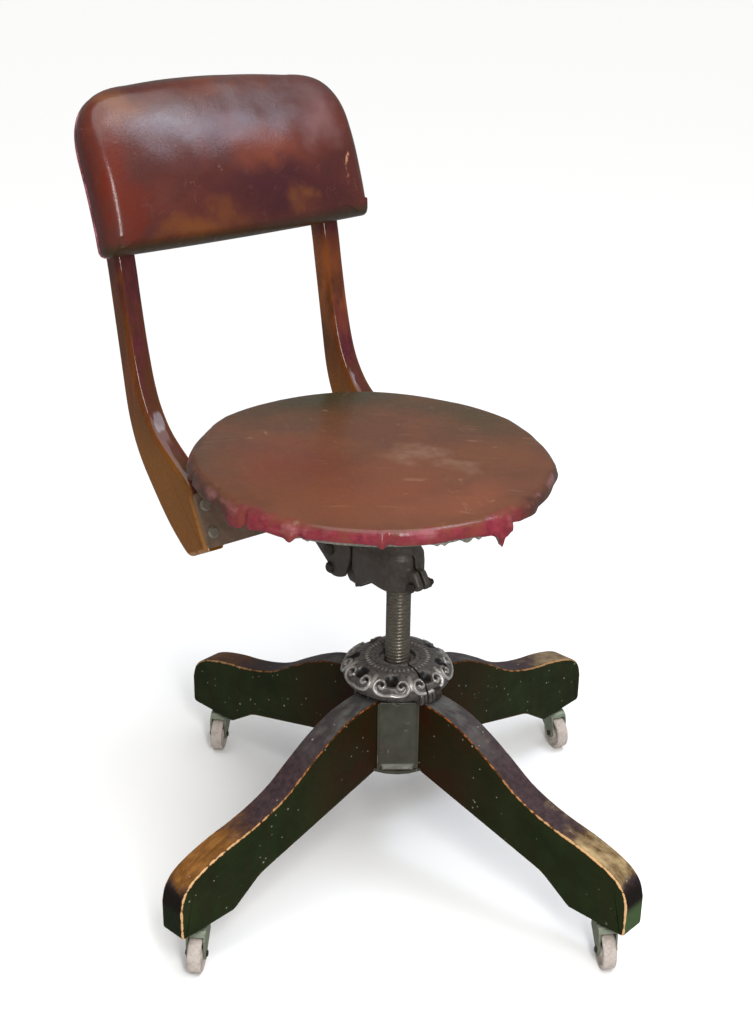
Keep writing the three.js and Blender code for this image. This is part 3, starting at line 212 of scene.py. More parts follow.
def specks(tree, where, spacing, size, share, seed):
    placed = node(tree, "Mapping", {"Vector": where, "Location": (seed, seed, seed)})
    distance = node(tree, "TexVoronoi", {"Vector": placed, "Scale": 1 / (spacing * MM)}, out="Distance")
    dot = node(tree, "MapRange", distance, size / spacing, 0.4 * size / spacing, **EASED)
    pick = node(tree, "SeparateColor", distance.node.outputs["Color"])
    chosen = node(tree, "MapRange", pick, 1 - share, 1.02 - share, **EASED)
    return node(tree, "Math", dot, chosen, **TIMES)


print("a dot 1.1 mm in radius fills", round(1.1 / 8, 3), "of a cell 8 mm wide")


# %% [markdown]
# ## Skins and pieces
#
# Most pieces are skins over rings of points: a turned piece is a ring that follows a profile,
# a plank is an outline carried across its thickness, and a cushion is an outline drawn in
# towards its middle. They could be pushed and pulled by hand from a cube, but rings keep every
# distance a real one. `make_piece` turns such a skin into an object that rides on its body.

# %% Skin over rings


def skin(rings, first=None, last=None):
    """Points and faces over rings of equal length; first and last may cap them flat or with a point."""
    around = len(rings[0])
    points = [p for ring in rings for p in ring]
    faces = []
    for k in range(len(rings) - 1):
        for i in range(around):
            j = (i + 1) % around
            faces.append((k * around + i, k * around + j, (k + 1) * around + j, (k + 1) * around + i))
    for cap, start in ((first, 0), (last, (len(rings) - 1) * around)):
        if cap == "flat":
            faces.append(tuple(range(start, start + around)))
        elif cap is not None:
            points.append(cap)
            faces += [(start + i, start + (i + 1) % around, len(points) - 1) for i in range(around)]
    return points, faces


cube_rings = [[(0, 0, z), (1, 0, z), (1, 1, z), (0, 1, z)] for z in (0, 1)]
print("a cube is a skin over two square rings, with", len(skin(cube_rings, "flat", "flat")[1]), "faces")


# %% Piece from a skin
def make_piece(name, shape, finish, body, stands_for=(), traits=None, sharp=35):
    """shape is (points, faces) in millimetres round the swivel axis; traits are lists, one value a point."""
    points, faces = shape
    mesh = bpy.data.meshes.new(name)
    mesh.from_pydata([((p[0] + swivel.x) * MM, (p[1] + swivel.y) * MM, p[2] * MM) for p in points], [], faces)
    for key, values in (traits or {}).items():
        kind = "FLOAT" if isinstance(values[0], (int, float)) else "FLOAT_VECTOR"
        attribute = mesh.attributes.new(key, kind, "POINT")
        if kind == "FLOAT":
            attribute.data.foreach_set("value", values)
        else:
            attribute.data.foreach_set("vector", [c for v in values for c in v])
    work = bmesh.new()
    work.from_mesh(mesh)
    bmesh.ops.recalc_face_normals(work, faces=work.faces[:])
    work.to_mesh(mesh)
    work.free()
    mesh.materials.append(finish)
    mesh.shade_smooth()
    mesh.set_sharp_from_angle(angle=math.radians(sharp))
    piece = bpy.data.objects.new(name, mesh)
    bpy.context.scene.collection.objects.link(piece)
    if body:
        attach(piece, body)
    if stands_for:
        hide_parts(*stands_for)
    print(name, len(points), "points")
    return piece


# %% [markdown]
# Two kinds of curve draw the outlines. One passes through measured points, as a batten bent
# round nails does; the other is a Bezier curve, which rounds a corner between two straight
# lines. An outline can also be drawn in by an even distance, as a joiner's gauge marks it.

# %% Curves
def smooth_line(points, steps):
    """An even curve through points, the way a flexible batten bends."""
    ends = [points[0]] + list(points) + [points[-1]]
    line = []
    for k in range(steps + 1):
        place = k / steps * (len(points) - 1)
        i = min(int(place), len(points) - 2)
        t = place - i
        a, b, c, d = ends[i:i + 4]
        line.append(tuple(
            0.5 * (2 * q + (r - p) * t + (2 * p - 5 * q + 4 * r - s) * t * t + (3 * q - p - 3 * r + s) * t ** 3)
            for p, q, r, s in zip(a, b, c, d)
        ))
    return line


def arc_between(points, steps=10):
    """A Bezier curve over three or four points."""
    curve = []
    for k in range(steps + 1):
        t = k / steps
        level_points = [Vector(p) for p in points]
        while len(level_points) > 1:
            level_points = [a.lerp(b, t) for a, b in zip(level_points, level_points[1:])]
        curve.append(tuple(level_points[0]))
    return curve


print("a batten through three nails, a quarter along:", smooth_line([(0, 0), (10, 4), (20, 0)], 4)[1])


# %% Outline drawn in
def drawn_in(outline, distance):
    """The closed outline moved inwards by a distance, with its corners kept."""
    area = sum(a[0] * b[1] - b[0] * a[1] for a, b in zip(outline, outline[1:] + outline[:1]))
    way = 1 if area > 0 else -1
    inner = []
    for i, point in enumerate(outline):
        before, after = Vector(outline[i - 1]), Vector(outline[(i + 1) % len(outline)])
        a = (Vector(point) - before).normalized()
        b = (after - Vector(point)).normalized()
        normal = Vector((-(a.y + b.y), a.x + b.x)).normalized() * way
        reach = distance / max(0.5, math.sqrt(max(0.0, (1 + a.dot(b)) / 2)))
        inner.append((point[0] + normal.x * reach, point[1] + normal.y * reach))
    return inner


print("a 10 mm square drawn in by 2 mm starts at", drawn_in([(0, 0), (10, 0), (10, 10), (0, 10)], 2)[0])


# %% [markdown]
# ## Floor and light
#
# A plain pale floor under a wide soft light from above stays nearly white right to the back.
# The chair stood in a dim room, so its varnish mirrors no white floor: the floor is left out of
# reflections, and the world is kept dim, because dark paint mirrors whatever surrounds it and
# would turn grey.

# %% Floor
floor_size = 60
bpy.ops.mesh.primitive_plane_add(size=floor_size)
floor = bpy.context.active_object
floor.name = "floor"
floor.data.materials.append(new_finish(
    "matt_paper", Base_Color="#fcfcfb", Roughness=0.95, Specular_IOR_Level=0.1)[0])
floor.visible_glossy = False
print("floor", floor_size, "m wide")

# %% [markdown]
# Two panels make the highlights. A cool window at the right lays a sheen on the surfaces that
# lean back, and a tall narrow panel in front draws bright lines down the edges. The light from
# above is a sun lamp with a very wide disc, so its shadows are as soft as an overcast sky's.

# %% Lights
def soft_panel(name, way, reach, target, size, watts, colour="#ffffff"):
    """A panel that stands at a distance from its target, in a direction given in the room."""
    data = bpy.data.lights.new(name, "AREA")
    data.shape = "RECTANGLE"
    data.size, data.size_y = size
    data.energy = watts
    data.color = linear(colour)[:3]
    lamp = bpy.data.objects.new(name, data)
    out = (turn @ Vector(way)).normalized()
    place = Matrix.Translation(Vector(target) + out * reach)
    lamp.matrix_world = place @ (-out).to_track_quat("-Z", "Y").to_matrix().to_4x4()
    bpy.context.scene.collection.objects.link(lamp)


def sky_light(strength, spread):
    data = bpy.data.lights.new("ceiling", "SUN")
    data.energy = strength
    data.angle = math.radians(spread)
    lamp = bpy.data.objects.new("ceiling", data)
    lamp.matrix_world = Matrix.Rotation(math.radians(8), 4, "X")
    bpy.context.scene.collection.objects.link(lamp)


sky_light(2.4, 60)
soft_panel("window", (0.61, -0.06, 0.79), 1.7, (0, 0.2, 0.75), (0.5, 0.8), 10, "#dfe9ff")
soft_panel("strip_front", (0.24, -0.84, 0.44), 1.9, (-0.05, 0.1, 0.6), (0.28, 1.3), 25)
room_light = 0.24
world = bpy.data.worlds.new("studio")
world.use_nodes = True
background = world.node_tree.nodes["Background"].inputs
background["Color"].default_value = linear("#ffffff")
background["Strength"].default_value = room_light
bpy.context.scene.world = world
print("lights", [light.name for light in bpy.data.lights])

# %% [markdown]
# ## Painted legs
#
# The four legs are sawn from an oak plank, shaped, and brushed with a dark green-black enamel
# over a brown stain. Enamel is glossy when new, and worn by shoes it goes to a soft shine.
# They have rubbed it off the outer half of each crest and along the edges, where the pale wood
# shows. A picture painted by hand could say where, but a mask needs no picture: the mesh
# carries how near a point is to an edge and whether it is on the crest, and the finish decides
# from that where paint is left. The grain runs along the leg.

# %% What the finish knows of a leg


def leg_masks(tree):
    at = {name: node(tree, "Attribute", out="Fac", attribute_name=name)
          for name in ("edge", "crest", "upper", "front_leg")}
    at["grain"] = node(tree, "Attribute", out="Vector", attribute_name="grain")
    at["reach"], _, at["height"] = node(tree, "SeparateXYZ", at["grain"]).node.outputs
    sideways = node(tree, "SeparateXYZ", node(tree, "TexCoord", out="Object"))
    at["right_side"] = node(tree, "MapRange", sideways, -0.05, 0.05, **EASED)
    at["fine"] = cloud(tree, at["grain"], 6, 0.35, 0.65, detail=5)
    return SimpleNamespace(**at)


# %% [markdown]
# The paint is green-black on the flanks, brushed in streaks, and browner by the hub. On the
# crest it is purple brown, and grey by the hub with pale patches, which are a painted sheen with
# some dust. The end faces are nearly black, with a greener foot that is lighter on the legs at
# the right, as a painted highlight.

# %% Old enamel


def old_enamel(tree, at):
    broad = cloud(tree, at.grain, 45, 0.35, 0.65, seed=3.1)
    streaks = cloud(tree, at.grain, 16, 0.45, 0.7, stretch=(1, 1, 0.25), seed=6.0)
    near_hub = node(tree, "MapRange", at.reach, 0.2, 0.05, **EASED)
    hub_stain = node(tree, "MapRange", broad, 0, 1, 0.45, 1, **EASED)
    side = coats(tree, "#1a220f", ("#283218", broad, 0.5), ("#241a0e", streaks, 0.4),
                 ("#2c140a", near_hub, hub_stain))
    hub_sheen_reach = node(tree, "MapRange", at.reach, 0.17, 0.06, **EASED)
    sheen_and_dust_patches = cloud(tree, at.grain, 15, 0.44, 0.66, stretch=(0.5, 1, 1), detail=5, seed=2.6)
    end_face = node(tree, "MapRange", at.reach, 0.316, 0.328, **EASED)
    end_foot = node(tree, "MapRange", at.height, 0.088, 0.074, **EASED)
    # the end faces' foot is greener, and lighter on the legs at the right as a painted highlight
    end_green_and_highlight = coats(tree, "#182010", ("#3d5030", at.right_side))
    # the grey and the pale patches by the hub are a painted sheen, with some dust
    top = coats(tree, "#32272a", ("#453639", at.fine), ("#4d4c4c", hub_sheen_reach, 0.7), ("#7d7e78", sheen_and_dust_patches, hub_sheen_reach, 0.6),
                ("#0f0d0a", end_face, 0.9), (end_green_and_highlight, end_face, end_foot))
    return coats(tree, side, (top, at.crest))


# %% [markdown]
# Oak is a golden brown, stained with old dirt, and paler and greyer on the legs at the right,
# where the paleness is a painted sheen. Its grain lines are about 1.5 mm apart and drawn long.
# The edges show a fresher and more orange wood, because they are rubbed again and again.

# %% Bare oak


def bare_oak(tree, at):
    """The crest's wood, the edges' wood, and the lines of the grain."""
    rays = cloud(tree, at.grain, 5, 0.3, 0.7, stretch=(0.06, 1, 1), detail=6, seed=1.7)
    stain = cloud(tree, at.grain, 34, 0.42, 0.62, stretch=(0.6, 1, 1), detail=4, seed=9.0)
    # the paler grey wood on the legs at the right is a painted sheen
    wood = coats(tree, "#5f3a17", ("#8f6130", rays), ("#c2ac80", at.right_side, 0.8), ("#3f2613", stain, 0.95))
    outward = node(tree, "MapRange", at.reach, 0.1, 0.3, **EASED)
    return wood, coats(tree, "#95592b", ("#cba273", outward)), rays


# %% [markdown]
# Paint is gone from the outer half of the crest, with a ragged border, and along the upper
# edges, where the bare line is 1 mm wide by the hub and 2 to 3 mm at the outer end. A halo of
# brown stain lies beside it. The two front legs took the most kicks.

# %% Worn places


def worn_places(tree, at):
    """How bare the crest is, how bare the edges are, and the halo beside them."""
    outer = node(tree, "Math", node(tree, "MapRange", at.reach, 0.19, 0.285, **EASED),
                 node(tree, "MapRange", at.reach, 0.329, 0.312, **EASED), **TIMES)
    patchy = node(tree, "Math", cloud(tree, at.grain, 26, 0.3, 0.72, seed=4.4), 0.75, **TIMES)
    ragged = node(tree, "Math", outer, patchy, **PLUS)
    bare_crest = node(tree, "Math", node(tree, "MapRange", ragged, 0.55, 1.3, **EASED), at.crest, **TIMES)
    crest_share = node(tree, "MapRange", at.front_leg, 0, 1, 0.45, 1, **EASED)
    bare_crest = node(tree, "Math", bare_crest, crest_share, **TIMES)
    edge_width = node(tree, "MapRange", at.reach, 0.08, 0.28, 0.95, 0.8, **EASED)
    jitter = node(tree, "Math", node(tree, "Math", at.fine, 0.5, **LESS), 0.3, **TIMES)
    worn = node(tree, "Math", node(tree, "Math", at.edge, edge_width, **LESS), jitter, **PLUS)
    upper_edge = node(tree, "MapRange", at.upper, 0.35, 0.5, **EASED)
    bare_edge = node(tree, "Math", node(tree, "MapRange", worn, 0, 0.12, **EASED), upper_edge, **TIMES)
    edge_share = node(tree, "MapRange", at.front_leg, 0, 1, 0.55, 1, **EASED)
    bare_edge = node(tree, "Math", bare_edge, edge_share, **TIMES)
    halo = node(tree, "MapRange", node(tree, "Math", worn, 0.25, **PLUS), 0, 0.25, **EASED)
    return bare_crest, bare_edge, node(tree, "Math", halo, upper_edge, **TIMES)


# %% [markdown]
# The coats go on in the order of the real ones: paint, then what wear has laid bare, then dust
# and chips. Bare wood is duller than paint and lies a little lower.

# %% Enamel over oak


def enamel_over_oak():
    material, tree = new_finish("enamel_over_oak", Roughness=0.4, Specular_IOR_Level=0.1,
                                Specular_Tint="#c3cf9c", Coat_Weight=0.03, Coat_Roughness=0.2)
    at = leg_masks(tree)
    wood, edge_wood, rays = bare_oak(tree, at)
    bare_crest, bare_edge, halo = worn_places(tree, at)
    dots = node(tree, "Math", specks(tree, at.grain, 8, 1.1, 0.3, 2.0),
                specks(tree, at.grain, 19, 1.6, 0.4, 5.0), **MOST)
    chips = node(tree, "Math", specks(tree, at.grain, 30, 2.3, 0.25, 8.0), at.fine, **TIMES)
    marks = node(tree, "Math", node(tree, "Math", dots, chips, **MOST), 0.5, **TIMES)
    colour = coats(tree, old_enamel(tree, at), (wood, bare_crest, 0.95), ("#4e2712", halo, 0.55),
                   (edge_wood, bare_edge, 0.9), ("#b5b3a4", marks))
    bare = node(tree, "Math", bare_crest, bare_edge, **MOST)
    rough = node(tree, "Math", node(tree, "MapRange", bare, 0, 1, 0.36, 0.58, **EASED),
                 node(tree, "Math", at.fine, 0.14, **TIMES), **PLUS)
    height = node(tree, "Math", node(tree, "Math", rays, 0.5, **TIMES),
                  node(tree, "Math", bare, -0.6, **TIMES), **PLUS)
    height = node(tree, "Math", height, node(tree, "Math", marks, 0.4, **TIMES), **PLUS)
    return surfaced(material, colour, height, 0.2, rough)


painted_oak = enamel_over_oak()

# %% [markdown]
# A leg is its side outline carried across the plank. A Bevel modifier could round its edges,
# but `plank` rounds them itself and keeps a few extra rows beside them, so that each row knows
# how near the edge it is and the worn edge fades out within a few millimetres.

# %% Plank
def plank(outline, thickness, edge, shoulder=4.0, turns=5):
    """Rings of (outline place, across) with each ring's nearness to an edge."""
    half = thickness / 2
    rows = [(drawn_in(outline, edge + shoulder), half, 0.0)]
    for k in range(turns + 1):
        t = k / turns * math.pi / 2
        worn = 0.55 + 0.45 * math.sin(2 * t) if k else 0.5
        rows.append((drawn_in(outline, edge * (1 - math.sin(t))), half - edge * (1 - math.cos(t)), worn))
    rows.append((outline, half - edge - 3.5, 0.0))
    rows.append((outline, 0.0, 0.0))
    return rows + [(o, -across, near) for o, across, near in reversed(rows[:-1])]


print("rows across a 31 mm plank:", len(plank([(0, 0), (50, 0), (50, 50), (0, 50)], 31, 2.6)))


# %% [markdown]
# The outline follows the photograph: a crest that leaves the hub level, sweeps down and ends in
# a blunt foot, a straight sawn underside, and a flat pad over the caster. The crest's points
# are shares of its span and its rise.

# %% Leg outline
LEG_NAMES = ["right", "rear", "left", "front"]
leg_reach, leg_root = 330.0, 22.3
pad_height = 50.0
leg_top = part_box("leg_front")[1].z / MM
rebate_reach, rebate_top, under_height = 50.3, 122.8, 120.0
knee_reach, knee_height = 222.0, 75.0
crest_end, end_corner = 36, 6
crest_shares = [
    (0, 1), (0.12, 1), (0.233, 0.962), (0.33, 0.879), (0.425, 0.771), (0.519, 0.656), (0.61, 0.586),
    (0.7, 0.541), (0.789, 0.51), (0.877, 0.465), (0.945, 0.408), (0.984, 0.331),
]


def leg_outline():
    """(reach, height) round a leg's side, from the rebate at the hub along the underside."""
    span, rise = leg_reach - leg_root, leg_top - pad_height
    crest = [(leg_root + s * span, pad_height + t * rise) for s, t in crest_shares]
    crest = smooth_line(crest + [(leg_reach, pad_height + crest_end)], 60)
    under = [(leg_root, rebate_top), (rebate_reach, rebate_top), (rebate_reach, under_height)]
    under += [(rebate_reach + (knee_reach - rebate_reach) * k / 16,
               under_height + (knee_height - under_height) * k / 16) for k in range(1, 16)]
    under += arc_between([(214, 77.1), (knee_reach, knee_height), (228, 71)], 4)[1:]
    under += [(232 + 24 * k / 5, 68.4 - 16.2 * k / 5) for k in range(6)]
    under += [(reach, pad_height) for reach in (260, 275, 300, 320, leg_reach - end_corner)]
    end = arc_between([under[-1], (leg_reach, pad_height), (leg_reach, pad_height + end_corner)], 5)[1:]
    end += [(leg_reach, pad_height + end_corner + (crest_end - end_corner) * k / 6) for k in range(1, 6)]
    return under + end + crest[::-1][:-1]


print("leg", leg_reach, "mm long, crest at", round(leg_top, 1), "mm,", len(leg_outline()), "points round")

# %% Legs
leg_thickness, leg_edge = 31.0, 2.6
parting_height, parting_slope = 124, 0.23  # a sloping line parts the crest from the underside
base_turn = math.atan2(*(
    Vector(joints["caster_swivel_right"]["pos_m"]).yx - Vector(joints["seat_swivel"]["pos_m"]).yx
))


def make_leg(k):
    outline = leg_outline()
    name = "leg_" + LEG_NAMES[k]
    rings, edge, crest, grain, upper = [], [], [], [], []
    spin = Matrix.Rotation(base_turn + k * math.pi / 2, 3, "Z")
    for shape, across, near in plank(outline, leg_thickness, leg_edge):
        flat = abs(across) < leg_thickness / 2 - leg_edge * 0.5
        for (x, z), (full_x, full_z) in zip(shape, outline):
            is_upper = full_z > parting_height - parting_slope * full_x or full_x > leg_reach - 8
            edge.append(float(near))
            upper.append(1.0 if is_upper else 0.0)
            crest.append(1.0 if is_upper and flat else 0.0)
            grain.append((x * MM, (across + 100 * k) * MM, z * MM))
        rings.append([tuple(spin @ Vector((x, across, z))) for x, z in shape])
    front = [1.0 if LEG_NAMES[k] in ("left", "front") else 0.0] * len(edge)
    traits = {"edge": edge, "crest": crest, "grain": grain, "upper": upper, "front_leg": front}
    make_piece(name + "_shaped", skin(rings, first="flat", last="flat"), painted_oak, "base",
               [name], traits, sharp=40)


for k in range(4):
    make_leg(k)

# %% [markdown]
# ## Varnished posts
#
# The two posts are sawn to a sweeping curve from beech or birch, stained brown-red and
# varnished. A varnish is a clear coat over the wood, so the shader gets a coat, which draws
# the thin bright lines down the rounded edges. The grain stays straight while the outline
# curves, so the pattern is tied to height and not to the outline. The front faces are more
# maroon, the flanks more amber, and bare wood shows only at the foot's edges.

# %% Stained varnish


def stained_varnish():
    material, tree = new_finish("stained_varnish", Roughness=0.28, Specular_IOR_Level=0.06,
                                Specular_Tint="#d8b483", Coat_Weight=0.6, Coat_Roughness=0.09)
    where = node(tree, "TexCoord", out="Object")
    sideways, _, height = node(tree, "SeparateXYZ", where).node.outputs
    edge, front = (node(tree, "Attribute", out="Fac", attribute_name=name) for name in ("edge", "front"))
    rays = cloud(tree, where, 4, 0.3, 0.7, stretch=(1, 1, 0.05), detail=6)
    broad = cloud(tree, where, 60, 0.38, 0.62, stretch=(1, 1, 0.4), seed=2.0)
    fine = cloud(tree, where, 9, 0.3, 0.7, detail=4, seed=5.0)
    low_amber = node(tree, "MapRange", height, 0.50, 0.40, **EASED)
    maroon = node(tree, "MapRange", height, 0.55, 0.62, **EASED)
    flank = coats(tree, "#542707", ("#6e3807", rays), ("#3c220b", broad, 0.6), ("#784806", low_amber, 0.8),
                  ("#3f1518", maroon, cloud(tree, where, 40, 0.4, 0.6, seed=4.0), 0.8))
    browned = cloud(tree, where, 50, 0.42, 0.6, stretch=(1, 1, 0.5), seed=7.3)
    face = coats(tree, "#401a20", ("#5c262a", rays), ("#4a2a17", browned, 0.9))
    # the right post's middle is rubbed to a gold brown
    rubbed = node(tree, "Math", node(tree, "MapRange", height, 0.64, 0.59, **EASED),
                  node(tree, "MapRange", height, 0.49, 0.54, **EASED), **TIMES)
    right_post = node(tree, "MapRange", sideways, 0.05, 0.1, **EASED)
    thin = cloud(tree, where, 34, 0.3, 0.6, stretch=(1, 1, 0.4), seed=1.0)
    # bare wood at the foot's edges
    foot = node(tree, "MapRange", height, 0.44, 0.37, **EASED)
    worn = node(tree, "Math", node(tree, "Math", edge, 0.8, **LESS),
                node(tree, "Math", fine, 0.12, **TIMES), **PLUS)
    bare = node(tree, "Math", node(tree, "MapRange", worn, 0, 0.15, **EASED),
                node(tree, "MapRange", fine, 0.1, 0.5, **EASED), **TIMES)
    colour = coats(tree, flank, (face, front), ("#8a4a1e", rubbed, right_post, thin, 0.85),
                   ("#a8794c", bare, foot, 0.5), ("#b08a58", specks(tree, where, 17, 1.0, 0.14, 3.0), 0.55))
    rough = node(tree, "MapRange", fine, 0, 1, 0.2, 0.36, **EASED)
    return surfaced(material, colour, node(tree, "Math", rays, 0.4, **TIMES), 0.04, rough)


varnish = stained_varnish()

# %% [markdown]
# The back hangs from the pivot. Below, the posts' feet lean back in a straight line; above,
# the posts and the cushion share one gentle bend. Both are given as places along a line, so
# that posts, cushion and welt all lie on the same curve.

# %% Line of the back
cushion_width = 345.0
post_spread = cushion_width / 2 - 36
post_width, post_depth, post_edge = 25.0, 29.0, 6.5
foot_y, foot_z = pivot.y - swivel.y + 62, pivot.z + 3
foot_lean = math.radians(29)
foot_face, foot_depth = 68.0, 48.0
bend_start = (foot_y + 165, foot_z + 253)
bend_lean, bend_radius, bend_length = math.radians(9.5), 460.0, 148.0


def lean_at(rise):
    return bend_lean + rise / bend_radius


def on_bend(rise, behind):
    """A place (y, z) at a length up the posts' front from the bend's start, and behind it."""
    lean = lean_at(rise)
    y = bend_start[0] + bend_radius * (math.cos(bend_lean) - math.cos(lean))
    z = bend_start[1] + bend_radius * (math.sin(lean) - math.sin(bend_lean))
    return (y + behind * math.cos(lean), z - behind * math.sin(lean))


def on_foot(rise, off):
    """A place (y, z) along the foot's flat face, and in front of it."""
    y = foot_y + rise * math.sin(foot_lean) - off * math.cos(foot_lean)
    return (y, foot_z + rise * math.cos(foot_lean) + off * math.sin(foot_lean))


print("bend starts at", tuple(round(c, 1) for c in bend_start))

# %% [markdown]
# A post is drawn from the side as the joiner's template: two sweeps between the foot and the
# bend, given as shares of the way, with rounded ends. Its edges are well rounded, so the plank
# has more rows there.

# %% Posts
FRONT_SWEEP = [
    (0.083, 0.054), (0.25, 0.111), (0.432, 0.173), (0.583, 0.24), (0.72, 0.349), (0.814, 0.483),
    (0.902, 0.69), (0.966, 0.886),
]
REAR_SWEEP = [
    (0.198, 0.067), (0.343, 0.13), (0.515, 0.222), (0.627, 0.288), (0.72, 0.36), (0.79, 0.44),
    (0.84, 0.53), (0.885, 0.66), (0.935, 0.81),
]


def sweep(start, shares, end):
    middle = [(start[0] + s * (end[0] - start[0]), start[1] + t * (end[1] - start[1])) for s, t in shares]
    return smooth_line([start] + middle + [end], 44)


def post_outline():
    """Points (y, z) round the post, and for each whether it is on the front face."""
    rear = sweep(on_foot(0, -foot_depth), REAR_SWEEP, on_bend(0, post_depth))
    heel = arc_between([on_foot(0, -foot_depth + 6), on_foot(0, -foot_depth), rear[2]], 4)
    foot = [on_foot(0, -foot_depth * k / 6) for k in range(6)]
    rises = [bend_length * k / 16 for k in range(1, 15)]
    upper_rear = [on_bend(r, post_depth) for r in rises]
    top = bend_length + post_depth / 8
    crown = arc_between([on_bend(rises[-1], post_depth), on_bend(top, post_depth), on_bend(top, 0),
                         on_bend(rises[-1], 0)], 10)[1:-1]
    upper_front = [on_bend(r, 0) for r in reversed(rises)]
    front = sweep(on_foot(foot_face, 0), FRONT_SWEEP, on_bend(0, 0))[::-1]
    face = [on_foot(foot_face * (1 - k / 8), 0) for k in range(1, 8)]
    parts = [(foot, 0), (heel, 0), (rear[3:], 0), (upper_rear, 0), (crown, 0), (upper_front, 1),
             (front, 1), (face, 0)]
    return [p for part, _ in parts for p in part], [flag for part, flag in parts for _ in part]


def make_post(side_name, way):
    outline, is_front = post_outline()
    name = "back_post_" + side_name
    rings, edge, front = [], [], []
    for shape, across, near in plank(outline, post_width, post_edge, shoulder=2.0, turns=7):
        flat = max(0.0, min(1.0, (post_width / 2 - abs(across)) / post_edge))
        rings.append([(across + way * post_spread, y, z) for y, z in shape])
        edge += [float(near)] * len(shape)
        front += [float(flag * flat) for flag in is_front]
    make_piece(name + "_shaped", skin(rings, first="flat", last="flat"), varnish, "back",
               [name], {"edge": edge, "front": front}, sharp=50)


make_post("left", -1)
make_post("right", 1)

# %% [markdown]
# ## Metals
#
# The head, yoke, ring and hub are cast iron, japanned once and now dark grey-brown, greasy and
# rubbed smooth; the screw, bolts and strap are mild steel gone dull; the caster forks are
# pressed steel with a dull zinc plate. Black japan is an oil varnish, so most of these are
# shaded as a dark coat that is only partly metal: a full metal would mirror the dark room and
# lose its brown. Tools and keys have scratched them, which a long thin noise draws.

# %% Scratches


def scratches(tree, where, spacing, angle, seed, width=0.012):
    """Thin straight strokes: a stretched noise whose middle value is picked out as a line."""
    placed = node(tree, "Mapping", {"Vector": where, "Rotation": (0, 0, angle), "Location": (seed, seed, 0)})
    drawn_long = node(tree, "Mapping", {"Vector": placed, "Scale": (1, 0.07, 1)})
    field = node(tree, "TexNoise", {"Vector": drawn_long, "Scale": 1 / (spacing * MM), "Detail": 1})
    near = node(tree, "Math", node(tree, "Math", field, 0.5, **LESS), operation="ABSOLUTE")
    line = node(tree, "MapRange", near, width, 0, **EASED)
    broken = cloud(tree, placed, spacing * 1.6, 0.56, 0.62, seed=seed)
    return node(tree, "Math", line, broken, **TIMES)


print("a scratch is about", round(1 / 0.07), "times as long as a round blot of the same noise")


# %% Metal finish
def worn_metal(name, dark, light, bright, roughness, grain, depth, metallic=0.3, rust="#33241a", rusted=0.3,
               dust_and_sheen=0.0, raised=False, scraped=0.0):
    """Lumps of `grain` mm and `depth` mm, from dark to light, with patches of rust and bright nicks."""
    material, tree = new_finish(name, Metallic=metallic, Specular_IOR_Level=0.4)
    where = node(tree, "TexCoord", out="Object")
    fine = cloud(tree, where, grain, 0.25, 0.75, detail=4)
    broad = cloud(tree, where, grain * 7, 0.4, 0.68, seed=4.0)
    colour = coats(tree, dark, (light, fine), (rust, broad, rusted))
    if dust_and_sheen:
        # what faces up is paler: dust, and a painted sheen of the light from above
        upward = node(tree, "SeparateXYZ", node(tree, "NewGeometry", out="Normal"), out=2)
        level_share = node(tree, "MapRange", upward, 0.2, 0.95, **EASED)
        colour = coats(tree, colour, ("#787572", level_share, cloud(tree, where, 5, 0.2, 0.6), dust_and_sheen))
    if raised:
        pattern = node(tree, "Attribute", out="Fac", attribute_name="raised")
        # the raised ornament is paler, partly rubbed bright and partly a painted highlight
        proud_wear_and_highlight = node(tree, "MapRange", pattern, 0.2, 1.2, **EASED)
        rubbed = node(tree, "MapRange", broad, 0, 1, 0.95, 0.5, **EASED)
        sunk = node(tree, "MapRange", pattern, -0.5, -2.2, **EASED)
        colour = coats(tree, colour, ("#b0aca6", proud_wear_and_highlight, rubbed), ("#0c0a09", sunk, 0.9))
    marks = node(tree, "Math", specks(tree, where, 13, 0.8, 0.18, 1.0), 0.5, **TIMES)
    if scraped:
        lines = node(tree, "Math", scratches(tree, where, 17, 0.5, 2.0),
                     scratches(tree, where, 29, -1.1, 6.0, width=0.01), **MOST)
        marks = node(tree, "Math", marks, node(tree, "Math", lines, scraped, **TIMES), **MOST)
    rough = node(tree, "MapRange", fine, 0, 1, roughness - 0.08, roughness + 0.1, **EASED)
    pits = cloud(tree, where, grain * 0.8, 0.2, 0.8, detail=3, seed=2.0)
    return surfaced(material, coats(tree, colour, (bright, marks)), pits, depth, rough)


# %% [markdown]
# Iron that was cast is duller and lumpier than rolled or cut steel, so its grain is wider and
# its pits deeper. The ring's raised ornament is paler, rubbed bright by hands and with a painted
# highlight, and black in its hollows; what faces up is paler too, with dust and a painted sheen.
# Zinc goes chalky and pale. The bush and the washer are bronze, the usual partner of a steel
# screw, and are hidden, so their finish is plain.

# %% Irons, steels, zinc and bronze
cast_iron = worn_metal("japanned_cast_iron", "#3d3833", "#534d46", "#a59d95", 0.4, 5.0, 0.1, dust_and_sheen=0.5)
ring_iron = worn_metal("rubbed_cast_iron", "#423f3d", "#615d5a", "#b5aea6", 0.3, 5.0, 0.06, 0.4,
                       dust_and_sheen=0.8, raised=True)
hub_iron = worn_metal("painted_cast_iron", "#3d3d33", "#4b4b3f", "#a09c8e", 0.38, 9.0, 0.05, 0.12, scraped=0.6)
mild_steel = worn_metal("mild_steel", "#332e2a", "#474039", "#a49c94", 0.4, 4.0, 0.05, 0.5)
strap_steel = worn_metal("hot_rolled_steel", "#776455", "#8d7867", "#a39a92", 0.45, 9.0, 0.05, 0.3)
screw_steel = worn_metal("cut_steel_thread", "#57524a", "#757063", "#c2baa8", 0.34, 4.0, 0.05, 0.5, rusted=0.2)
